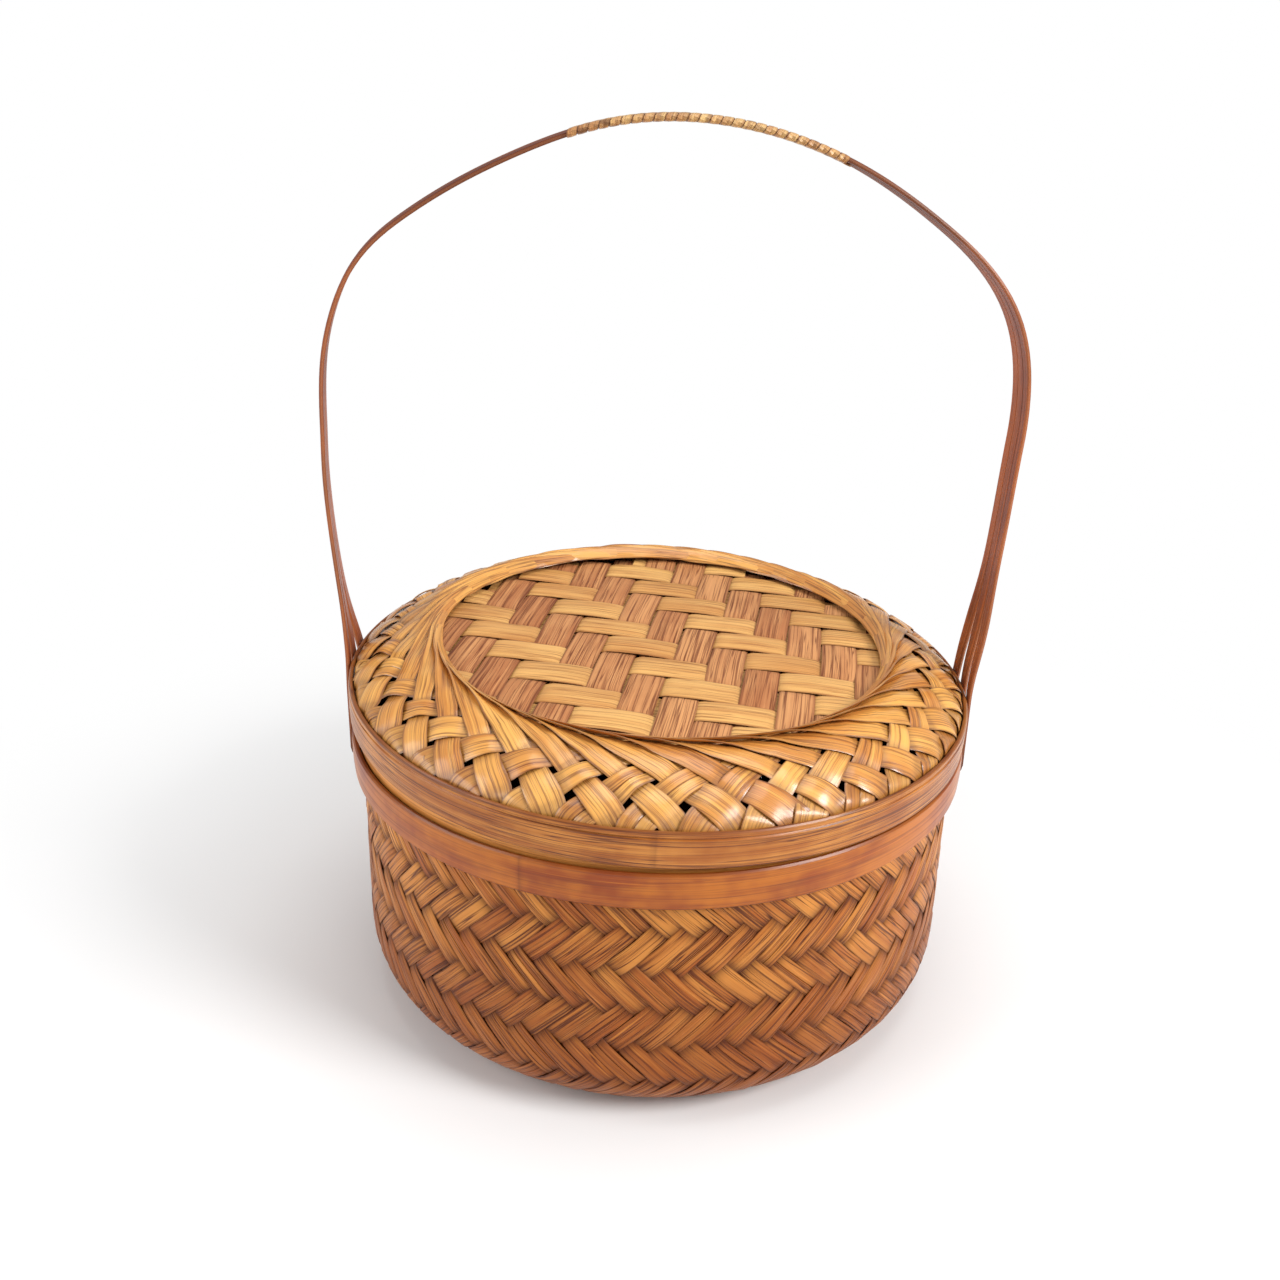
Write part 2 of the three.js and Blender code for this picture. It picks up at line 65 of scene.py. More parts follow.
# A place on the line that a strip follows, before the strip is laid there. `rise` is how far the
# strip lies out from that line, `lean` how far it is rolled over, and the last field how dark it is
# painted: painted shade where the strip is tucked under its neighbours, real stains and node marks.
Place = namedtuple("Place", "point out rise width lean worn")

# The same place once the strip is laid there: its middle, the ways across it and out from it,
# its width and thickness, and how far along the strip it is.
Station = namedtuple("Station", "middle across out width thick along worn")

# Sections, as shares of the half width and half thickness.
SPLINT = ((-1, 0), (-0.86, 1), (0, 1), (0.86, 1), (1, 0), (0.86, -1), (-0.86, -1))
HOOP = ((-1, -0.5), (-1, 0.4), (-0.9, 1), (-0.45, 1), (0, 1), (0.45, 1), (0.9, 1), (1, 0.4),
        (1, -0.5), (0.94, -1), (-0.94, -1))
LIPPED_HOOP = ((-1, -0.5), (-1, 0.4), (-0.92, 1), (-0.3, 1), (0.3, 1), (0.58, 1), (0.65, 0.45),
               (0.72, 1), (0.92, 0.9), (1, 0.3), (1, -0.5), (0.94, -1), (-0.94, -1))


def smooth(value):
    """From 0 to 1 with a gentle start and end, and level before and after."""
    share = min(max(value, 0.0), 1.0)
    return share * share * (3 - 2 * share)


def polar(radius, angle, height=0.0):
    """Point at a distance and an angle round the basket's axis."""
    return Vector((radius * math.cos(angle), radius * math.sin(angle), height))


def wander(*place):
    """Smooth random number about zero, the same for the same place in every run."""
    return noise.noise(Vector(place))


def facing_out(outside):
    """A section's points as an array, and the way out from it at each of them."""
    line = np.array(outside)
    heading = np.gradient(line, axis=0)
    heading /= np.linalg.norm(heading, axis=1)[:, None]
    return line, np.stack([-heading[:, 1], heading[:, 0]], axis=1)


def section_at(key, keys, line, way_out):
    """Radius, height and way out where a section's line is at one distance or level."""
    return [np.interp(key, keys, column) for column in (*line.T, *way_out.T)]


def lap_radius(sizes):
    """Inside of the lid's hoop, where the ring's strips turn down."""
    return sizes.rim_radius - sizes.hoop_thickness


# Strips

def lay_stations(places, thick):
    """Stations of a strip along its places, turned square to the way it runs."""
    middles = [place.point + place.out * place.rise for place in places]
    stations = []
    along = 0.0
    for index, place in enumerate(places):
        before = middles[max(index - 1, 0)]
        after = middles[min(index + 1, len(middles) - 1)]
        heading = (after - before).normalized()
        across = heading.cross(place.out).normalized()
        out = across.cross(heading)
        turned = Matrix.Rotation(place.lean, 3, heading)
        along += (middles[index] - middles[max(index - 1, 0)]).length
        stations.append(Station(middles[index], turned @ across, turned @ out, place.width, thick,
                                along, place.worn))
    return stations


def halves(stations):
    """Stations of the two narrow strips that a strip splits into."""
    return [[station._replace(middle=station.middle + station.across * (side * station.width / 4),
                              width=station.width * 0.495)
             for station in stations] for side in (-1, 1)]


def new_piece():
    """Empty mesh whose points say where they lie on their strip, how dark they are painted for
    shade and stains, and each strip's edges and tone.
    """
    piece = bmesh.new()
    piece.verts.layers.float_vector.new("lay")
    piece.verts.layers.float_vector.new("shade_stain_edge_tone")
    return piece


def lay_strip(piece, stations, strand, section=SPLINT, crown=0.0):
    """Extrude a section from station to station as one closed strip, and add it to a piece.

    `strand` is the number that sets the strip's own tone and fibres, and `crown` how far the
    middle of its outer face swells.
    """
    strip = new_piece()
    lay = strip.verts.layers.float_vector["lay"]
    shade_stain_edge_tone = strip.verts.layers.float_vector["shade_stain_edge_tone"]
    tone = wander(strand * 7.31, 1.7, strand * 3.77) * 0.5 + 0.5
    end = strip.faces.new([strip.verts.new() for _ in section])
    for number, station in enumerate(stations):
        if number:
            grown = bmesh.ops.extrude_face_region(strip, geom=[end])["geom"]
            if number > 1:  # the face between two stretches would lie inside the strip
                bmesh.ops.delete(strip, geom=[end], context="FACES_ONLY")
            end = next(item for item in grown if isinstance(item, bmesh.types.BMFace))
        half = station.width / 2
        for vert, (aside, outwards) in zip(end.verts, section):
            swell = crown * (1 - aside * aside) if outwards > 0 else 0
            vert.co = (station.middle + station.across * (aside * half)
                       + station.out * (outwards * station.thick / 2 + swell))
            vert[lay] = (station.along, aside * half, strand)
            vert[shade_stain_edge_tone] = (station.worn, abs(aside), tone)
    bmesh.ops.recalc_face_normals(strip, faces=strip.faces)
    add_to(piece, strip)


def add_to(piece, part):
    """Move one mesh into another."""
    carrier = bpy.data.meshes.new("carrier")
    part.to_mesh(carrier)
    part.free()
    piece.from_mesh(carrier)
    bpy.data.meshes.remove(carrier)


def finish_piece(piece, name, finish, body, nodes):
    """Turn a mesh into a named object that rides on its body and stands for its solids."""
    mesh = bpy.data.meshes.new(name)
    piece.to_mesh(mesh)
    piece.free()
    mesh.shade_smooth()
    mesh.set_sharp_from_angle(angle=CREASE)
    mesh.materials.append(finish)
    made = bpy.data.objects.new(name, mesh)
    bpy.context.scene.collection.objects.link(made)
    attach(made, body)
    if nodes:
        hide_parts(*nodes)


def level_side(level, is_over, ease):
    """How far a strip lies over (1) or under (-1) the strips it crosses, between crossings too."""
    nearest = math.floor(level + 0.5)
    offset = level - nearest
    neighbour = nearest + (1 if offset > 0 else -1)
    here = 1 if is_over(nearest) else -1
    there = 1 if is_over(neighbour) else -1
    return here + (there - here) * smooth((abs(offset) - 0.5 + ease) / (2 * ease))


def along_float(level, is_over):
    """Place along a stretch that lies on top: 0 at its two ends, 1 in its middle, 0 elsewhere."""
    longest = 3
    first = last = math.floor(level + 0.5)
    if not is_over(first):
        return 0.0
    while is_over(first - 1) and level - first < longest:
        first -= 1
    while is_over(last + 1) and last - level < longest:
        last += 1
    return math.sin(math.pi * (level - first + 0.5) / (last - first + 1))


# Finishes

class Nodes:
    """Shorthand for building a finish. Each method adds one node and returns what it gives."""

    def __init__(self, name):
        self.material = bpy.data.materials.new(name)
        self.material.use_nodes = True
        self.tree = self.material.node_tree
        self.surface = self.tree.nodes["Principled BSDF"]

    def add(self, kind, **settings):
        node = self.tree.nodes.new(kind)
        for key, value in settings.items():
            setattr(node, key, value)
        return node

    def link(self, source, target):
        if isinstance(source, (int, float, tuple)):
            target.default_value = source
        else:
            self.tree.links.new(source, target)

    def math(self, operation, first, second=0.0, clamp=False):
        node = self.add("ShaderNodeMath", operation=operation, use_clamp=clamp)
        self.link(first, node.inputs[0])
        self.link(second, node.inputs[1])
        return node.outputs[0]

    def mix(self, share, first, second):
        node = self.add("ShaderNodeMix", data_type="RGBA")
        self.link(share, node.inputs[0])
        self.link(first, node.inputs[6])
        self.link(second, node.inputs[7])
        return node.outputs[2]

    def span(self, value, low, high, to_low=0.0, to_high=1.0):
        node = self.add("ShaderNodeMapRange", interpolation_type="SMOOTHSTEP")
        self.link(value, node.inputs[0])
        for socket, number in zip(node.inputs[1:5], (low, high, to_low, to_high)):
            socket.default_value = number
        return node.outputs[0]

    def noise(self, place, scale, detail, roughness):
        node = self.add("ShaderNodeTexNoise")
        self.link(place, node.inputs["Vector"])
        node.inputs["Scale"].default_value = scale
        node.inputs["Detail"].default_value = detail
        node.inputs["Roughness"].default_value = roughness
        return node.outputs["Fac"]

    def split(self, vector):
        node = self.add("ShaderNodeSeparateXYZ")
        self.link(vector, node.inputs[0])
        return node.outputs

    def join(self, x, y, z):
        node = self.add("ShaderNodeCombineXYZ")
        for value, socket in zip((x, y, z), node.inputs):
            self.link(value, socket)
        return node.outputs[0]


def colour(value, share=1.0):
    """Opaque colour, made lighter or darker by a share."""
    return (*(min(1.0, channel * share) for channel in value), 1.0)


def bamboo(name, pale, deep, dark, lines, fine, rough, coat, patches=0.6, bump=0.35, cracks=0.5,
           shine=0.25, drawn=0.018, low=0.0, rim=None):
    """Split bamboo: fibres along each strip, its own tone, patches, stains, painted shade at tucked
    ends and edges, and gloss.

    `lines` and `cracks` say how strongly the fine and the coarse dark lines show, `fine` how close
    the fibres lie, `drawn` how much slower they change along the strip than across it, `patches`
    how far the tone wanders, `low` how much painted shade darkens the foot of the wall, and `rim`
    colours the edges of each strip, which are otherwise painted dark as a line of shade.
    """
    nodes = Nodes(name)
    lay = nodes.add("ShaderNodeAttribute", attribute_name="lay").outputs["Vector"]
    shade_stain_edge_tone = nodes.add("ShaderNodeAttribute", attribute_name="shade_stain_edge_tone").outputs["Vector"]
    along, across, strand = nodes.split(lay)
    worn, edge, tone = nodes.split(shade_stain_edge_tone)
    there = nodes.add("ShaderNodeTexCoord").outputs["Object"]
    apart = nodes.math("MULTIPLY", strand, 37.0)  # each strip lies in its own part of the noise

    def streaks(length, width, detail=2.0):
        place = nodes.join(nodes.math("MULTIPLY", along, length),
                           nodes.math("MULTIPLY", across, width), apart)
        return nodes.noise(place, 1.0, detail, 0.6)

    # Fine fibres, broad stripes and coarse grooves along the strips, and patches across them.
    fibres = streaks(fine * drawn, fine, 3.0)
    broad = streaks(14.0, fine * 0.3)
    grooves = nodes.math("ABSOLUTE", nodes.math("SUBTRACT", streaks(11.0, 640.0, 1.0), 0.5))
    groove = nodes.span(grooves, 0.035, 0.0, 0.0, cracks)
    blotch = nodes.noise(there, 34.0, 3.0, 0.65)

    strip_tone = nodes.math("ADD", nodes.math("MULTIPLY", tone, 0.8),
                            nodes.math("MULTIPLY", blotch, patches))
    strip_tone = nodes.math("ADD", strip_tone, nodes.math("MULTIPLY", broad, 0.9))
    middle = 0.85 + patches / 2
    base = nodes.mix(nodes.span(strip_tone, middle - 0.33, middle + 0.33),
                     colour(pale), colour(deep))
    height = nodes.split(there)[2]
    # Painted shade: the strips darken towards the foot of the wall, below 85 mm, by `low`.
    base = nodes.mix(nodes.span(height, 25 * MM, 85 * MM, low, 0.0), base, colour(deep, 0.8))
    base = nodes.mix(nodes.span(fibres, 0.5, 0.68, 0.0, lines), base, colour(dark))
    base = nodes.mix(nodes.span(fibres, 0.24, 0.42, 0.5, 0.0), base, colour(pale, 1.3))
    base = nodes.mix(groove, base, colour(dark))
    # Each strip's edges and sides take the rim colour. Where that is the dark colour, it is a
    # painted line of shade in the gaps between strips.
    base = nodes.mix(nodes.span(edge, 0.82, 1.0, 0.0, 0.6), base, colour(rim or dark))
    # Painted shade: float ends darken where they tuck under their neighbours, as do strips lying
    # beneath others. The same value carries real stains and node marks.
    shade_and_stain_share = nodes.math("MULTIPLY", nodes.math("POWER", worn, 3.0), 0.84)
    base = nodes.mix(shade_and_stain_share, base, colour(dark, 0.6))
    nodes.link(base, nodes.surface.inputs["Base Color"])

    gloss = nodes.math("ADD", nodes.math("MULTIPLY", fibres, 0.25), rough - 0.12)
    gloss = nodes.math("ADD", gloss, nodes.math("MULTIPLY", worn, 0.15), clamp=True)
    nodes.link(gloss, nodes.surface.inputs["Roughness"])
    ridge = nodes.add("ShaderNodeBump")
    ridge.inputs["Strength"].default_value = bump
    ridge.inputs["Distance"].default_value = 0.3 * MM
    relief = nodes.math("ADD", fibres, nodes.math("MULTIPLY", broad, 0.8))
    relief = nodes.math("SUBTRACT", relief, nodes.math("MULTIPLY", groove, 0.9))
    nodes.link(relief, ridge.inputs["Height"])
    nodes.link(ridge.outputs[0], nodes.surface.inputs["Normal"])
    nodes.surface.inputs["Specular IOR Level"].default_value = shine
    nodes.surface.inputs["Coat Weight"].default_value = coat
    nodes.surface.inputs["Coat Roughness"].default_value = 0.2
    return nodes.material


# Side of the basket

def wall_radius(sizes, height):
    """Outside of the woven wall above its rounded bottom corner."""
    band_bottom = sizes.rim_height - sizes.band_height
    rim = sizes.rim_radius - sizes.band_thickness
    waist = rim - 1.3 * MM
    above_belly = smooth((height - sizes.corner_height) / (band_bottom - sizes.corner_height))
    flare = smooth((height - band_bottom) / (4 * MM))
    return waist + 1.1 * MM * (1 - above_belly) + 1.0 * MM * flare


def wall_line(sizes):
    """Middle of the weave down the wall, round the corner and under: radius, height, way out."""
    belly = wall_radius(sizes, sizes.corner_height)
    centre = belly - sizes.corner_width
    top = sizes.rim_height - 3.5 * MM
    outside = []
    for height in np.linspace(top, sizes.corner_height, 60, endpoint=False):
        outside.append((wall_radius(sizes, height), height))
    for angle in np.linspace(math.pi / 2, 0, 41):
        outside.append((centre + sizes.corner_width * math.sin(angle),
                        sizes.corner_height * (1 - math.cos(angle))))
    for step in range(1, 10):
        outside.append((centre - step * MM, 0.0))
    line, way_out = facing_out(outside)
    return line - way_out * sizes.weave_depth, way_out


def wall_levels(sizes, line):
    """Number of crossings down to each place of the line. Between -1 and 0 a row begins."""
    steps = np.linalg.norm(np.diff(line, axis=0), axis=1)
    radii = (line[1:, 0] + line[:-1, 0]) / 2
    crossing = math.pi / sizes.wall_strips
    levels = np.concatenate([[0], np.cumsum(steps / radii / math.tan(sizes.wall_slant) / crossing)])
    start = np.interp(-sizes.row_height, -line[:, 1], levels)
    return levels - start - 0.5


def wall_strip(sizes, table, leans, is_over, turn, strand):
    """Places of one strip of the wall. `leans` is 1 where it climbs round to the left."""
    line, way_out, levels = table
    crossing = math.pi / sizes.wall_strips
    chance = random.Random(strand * 1000 + leans)
    width_share = 1.01 + chance.uniform(-0.05, 0.03)
    sway = chance.uniform(0, 100)
    places = []
    count = int((levels[-1] - levels[0]) * 4)
    for step in range(count + 1):
        level = levels[0] + (levels[-1] - levels[0]) * step / count
        radius, height, out_r, out_z = section_at(level, levels, line, way_out)
        drift = wander(level * 0.35, sway, 0) * 0.8 * MM / radius
        angle = turn - leans * level * crossing + drift
        lifted = level_side(level, is_over, EASE)
        arch = along_float(level, is_over)
        uneven = wander(level * 0.8, sway, 5)
        rise = lifted * sizes.weave_rise + arch * (0.2 + 0.15 * uneven) * MM
        spacing = 2 * crossing * radius * math.sin(sizes.wall_slant)
        width = spacing * width_share * (1 + 0.05 * uneven)
        # The last value is painted shade: the strip darkens towards the ends of each float, where
        # it tucks under the strips it crosses.
        places.append(Place(polar(radius, angle, height), polar(out_r, angle, out_z), rise, width,
                            0.09 * uneven, 1 - arch))
    return places


class BASKET_OT_wall(bpy.types.Operator):
    """Weave the wall in level rows of herringbone, over three strips and under three"""

    bl_idname = "basket.wall"
    bl_label = "Weave Wall"

    def execute(self, context):
        sizes = context.scene.basket_sizes
        tones = context.scene.basket_colours
        line, way_out = wall_line(sizes)
        table = (line, way_out, wall_levels(sizes, line))
        finish = bamboo("woven_wall", tones.wall, tones.wall_deep, tones.wall_dark, lines=0.82,
                        fine=1100.0, rough=0.42, coat=0.05, cracks=0.95, bump=0.6, shine=0.2,
                        low=0.78)
        pitch = math.tau / sizes.wall_strips
        families = (("wall_strips_right", 1, lambda level: level % 6 < 3, ("woven_body",)),
                    ("wall_strips_left", -1, lambda level: level % 6 >= 3, ()))
        for name, leans, is_over, nodes in families:
            piece = new_piece()
            for index in range(sizes.wall_strips):
                places = wall_strip(sizes, table, leans, is_over, index * pitch, index)
                stations = lay_stations(places, sizes.wall_strip_thickness)
                is_split = random.Random(index * 5 + leans).random() < 0.12
                for number, strip in enumerate(halves(stations) if is_split else [stations]):
                    lay_strip(piece, strip, crown=0.1 * MM,
                              strand=index + 0.37 * leans + 0.11 * number)
            finish_piece(piece, name, finish, "basket", nodes)
        return {"FINISHED"}


def base_strip(sizes, index, runs_across, count, reach):
    """Places of one strip of the base, bent up a little where it meets the corner."""
    pitch = sizes.base_pitch
    middle = (count - 1) / 2
    side = (index - middle) * pitch
    half = math.sqrt(max(reach ** 2 - side ** 2, (8 * MM) ** 2))

    def is_over(crossing):
        return ((index + crossing) % 6 < 3) == runs_across

    places = []
    steps = max(int(half / pitch * 6), 4)
    for step in range(steps + 1):
        along = half * (2 * step / steps - 1)
        level = along / pitch + middle
        rise = level_side(level, is_over, EASE) * 0.4 * MM
        arch = along_float(level, is_over)
        away = math.hypot(side, along) - reach + 5 * MM
        height = 0.85 * MM + max(away, 0) ** 2 * 20
        spot = (along, side) if runs_across else (side, along)
        # The last value is painted shade at the ends of each float, where the strip tucks under the
        # strips it crosses.
        places.append(Place(Vector((*spot, height)), -UP, rise, pitch * 0.99, 0.0, 1 - arch))
    return places


class BASKET_OT_base(bpy.types.Operator):
    """Weave the flat base of straight strips, over three and under three"""

    bl_idname = "basket.base"
    bl_label = "Weave Base"

    def execute(self, context):
        sizes = context.scene.basket_sizes
        tones = context.scene.basket_colours
        finish = bamboo("woven_base", tones.wall, tones.wall_deep, tones.wall_dark, lines=0.55,
                        fine=1100.0, rough=0.55, coat=0.05)
        reach = wall_radius(sizes, sizes.corner_height) - sizes.corner_width + 3 * MM
        count = int(2 * reach / sizes.base_pitch)
        for name, runs_across in (("base_strips_across", True), ("base_strips_along", False)):
            piece = new_piece()
            for index in range(count):
                places = base_strip(sizes, index, runs_across, count, reach)
                lay_strip(piece, lay_stations(places, thick=0.45 * MM), strand=index + 0.5)
            finish_piece(piece, name, finish, "basket", ())
        return {"FINISHED"}


# Hoops

def hoop_places(outer, thickness, bottom, height, lap_at, wobble, seed, joints):
    """Places round a hoop whose pared ends lie one over the other. `joints` are its nodes."""
    lap = math.radians(16)
    tip = 0.45 * MM  # thickness that the ends are pared to
    gap = 0.15 * MM  # between the two ends
    start = math.radians(lap_at)
    places = []
    inner = outer - thickness
    steps = 520
    for step in range(steps + 1):
        turned = (math.tau + lap) * step / steps
        if turned < lap:
            thick = tip + (thickness - 2 * tip - gap) * turned / lap
            middle = inner + thick / 2
        elif turned > math.tau:
            share = (turned - math.tau) / lap
            thick = thickness - gap - tip - (thickness - 2 * tip - gap) * share
            middle = outer - thick / 2
        else:
            thick = thickness
            middle = (outer + inner) / 2
        angle = start + turned
        uneven = wander(*polar(2.2, angle, seed))
        lifted = wander(*polar(1.7, angle, seed + 9))
        point = polar(middle, angle, bottom + height / 2 + lifted * wobble)
        aways = [(math.degrees(angle) - joint + 180) % 360 - 180 for joint in joints]
        joint = max((math.exp(-(away / 0.7) ** 2) for away in aways), default=0.0)
        places.append((point, polar(1, angle), thick + 0.15 * MM * joint,
                       height * (1 + 0.02 * uneven), joint))
    return places


def lay_hoop(piece, outer, thickness, bottom, height, lap_at, seed, wobble=0.0,
             crown=0.1 * MM, section=HOOP, joints=()):
    """Bend one strip round into a hoop, with its width standing upright, and add it to a piece."""
    places = hoop_places(outer, thickness, bottom, height, lap_at, wobble, seed, joints)
    stations = []
    along = 0.0
    for index, (point, out, thick, tall, joint) in enumerate(places):
        along += (point - places[max(index - 1, 0)][0]).length
        stations.append(Station(point, UP, out, tall, thick, along, 0.8 * joint))
    lay_strip(piece, stations, section=section, crown=crown, strand=seed)


class BASKET_OT_rim(bpy.types.Operator):
    """Bend the rim band, the pale filler on the edge of the weave and the collar inside it"""

    bl_idname = "basket.rim"
    bl_label = "Bend Rim Hoops"

    def execute(self, context):
        sizes = context.scene.basket_sizes
        tones = context.scene.basket_colours
        band = new_piece()
        band_bottom = sizes.rim_height - sizes.band_height
        lay_hoop(band, sizes.rim_radius, sizes.band_thickness, band_bottom, sizes.band_height, 84,
                 wobble=0.25 * MM, seed=1.0, crown=0.35 * MM, joints=(-111, 12, 131))
        finish = bamboo("rim_band_skin", tones.band, tones.band_deep, tones.band_dark, lines=0.5,
                        fine=800.0, rough=0.34, coat=0.15, patches=1.8, bump=0.12, cracks=0.35,
                        drawn=0.012, shine=0.3)
        finish_piece(band, "rim_band_hoop", finish, "basket", ("rim_band",))

        filler_low, filler_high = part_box("rim_filler")
        filler = new_piece()
        lay_hoop(filler, filler_high.y, sizes.filler_thickness, filler_low.z,
                 filler_high.z - filler_low.z, 265, wobble=0.1 * MM, seed=2.0)
        finish = bamboo("pale_splint_finish", tones.filler, tones.filler_deep, tones.band_dark,
                        lines=0.4, fine=1300.0, rough=0.45, coat=0.15)
        finish_piece(filler, "rim_filler_hoop", finish, "basket", ("rim_filler",))

        collar_low, collar_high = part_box("inner_collar")
        collar = new_piece()
        lay_hoop(collar, sizes.collar_radius, 1.8 * MM, collar_low.z,
                 collar_high.z - collar_low.z, 120, wobble=0.1 * MM, seed=3.0)
        finish = bamboo("collar_skin", tones.handle, tones.handle_deep, tones.handle_dark,
                        lines=0.35, fine=900.0, rough=0.4, coat=0.3)
        finish_piece(collar, "inner_collar_hoop", finish, "basket",
                     ("inner_collar",))
        return {"FINISHED"}


# Lid

def lid_seat(sizes):
    """Placing of the lid, whose own heights start at the top edge of its hoop."""
    low_side = math.radians(-30)
    axis = polar(1, low_side + math.pi / 2)
    half = sizes.hoop_height / 2
    lift = (sizes.rim_height + 0.3 * MM + sizes.rim_radius * math.sin(sizes.lid_tilt)
            + half * math.cos(sizes.lid_tilt))
    return (Matrix.Translation((0, 0, lift)) @ Matrix.Rotation(sizes.lid_tilt, 4, axis)
            @ Matrix.Translation((0, 0, half)))


def seat_on_lid(piece, sizes):
    """Move a piece from the lid's own heights to where it lies on the rim."""
    bmesh.ops.transform(piece, matrix=lid_seat(sizes), verts=piece.verts)


class BASKET_OT_lid_hoops(bpy.types.Operator):
    """Bend the lid's outer hoop and the pale hoop inside its turned-down weave"""

    bl_idname = "basket.lid_hoops"
    bl_label = "Bend Lid Hoops"

    def execute(self, context):
        sizes = context.scene.basket_sizes
        tones = context.scene.basket_colours
        outer = new_piece()
        lay_hoop(outer, sizes.rim_radius, sizes.hoop_thickness, -sizes.hoop_height,
                 sizes.hoop_height, 96, wobble=0.2 * MM, seed=4.0, crown=0.3 * MM,
                 section=LIPPED_HOOP, joints=(-90, 31, 148))
        seat_on_lid(outer, sizes)
        finish = bamboo("lid_hoop_finish", tones.hoop, tones.hoop_deep, tones.hoop_dark,
                        lines=0.95, fine=1300.0, rough=0.34, coat=0.2, patches=1.2, cracks=0.9,
                        drawn=0.007)
        finish_piece(outer, "lid_outer_hoop", finish, "lid", ("lid_hoop",))

        inner = new_piece()
        lay_hoop(inner, lap_radius(sizes) - 1.6 * MM, 1.2 * MM, 4.5 * MM - sizes.hoop_height,
                 8 * MM, 250, seed=5.0)
        seat_on_lid(inner, sizes)
        finish = bamboo("inner_hoop_finish", tones.filler, tones.filler_deep, tones.band_dark,
                        lines=0.4, fine=1300.0, rough=0.5, coat=0.1)
        finish_piece(inner, "lid_inside_hoop", finish, "lid", ("lid_inner_hoop",))
        return {"FINISHED"}


def ring_line(sizes):
    """Middle of the lid's woven ring, from the opening over the crown to inside the hoop."""
    edge = lap_radius(sizes) - 0.5 * MM
    crown = sizes.crown_radius
    inner = sizes.opening_radius - 3 * MM
    outside = []
    inner_steps = 12  # from the opening to the crown
    for step in range(inner_steps + 1):
        radius = inner + (crown - inner) * step / inner_steps
        drop = 0.9 * MM * ((crown - radius) / (crown - sizes.opening_radius)) ** 2
        outside.append((radius, sizes.lid_rise - drop))
    for step in range(1, 41):
        across = 0.85 * math.sin(math.pi / 2 * step / 40) ** 1.1
        height = sizes.lid_rise * (1 - across ** 1.45) ** 0.85
        outside.append((crown + (edge - crown) * across, height))
    brow = Vector(outside[-1])
    lead = (brow - Vector(outside[-3])).normalized() * 2.6 * MM
    for step in range(1, 13):
        share = step / 12
        outside.append(tuple(brow * (1 - share) ** 3 + (brow + lead) * 3 * share * (1 - share) ** 2
                             + Vector((edge, 1.2 * MM)) * 3 * share ** 2 * (1 - share)
                             + Vector((edge, -2.5 * MM)) * share ** 3))
    for step in range(1, 4):
        outside.append((edge, -2.5 * MM - step * MM))
    line, way_out = facing_out(outside)
    steps = np.linalg.norm(np.diff(line, axis=0), axis=1)
    gone = np.concatenate([[0], np.cumsum(steps)])
    gone -= gone[inner_steps]
    return line - way_out * 0.6 * MM, way_out, gone


RING_OVER = (True, True, False, True, False, False)  # sides at the crossings, from the opening


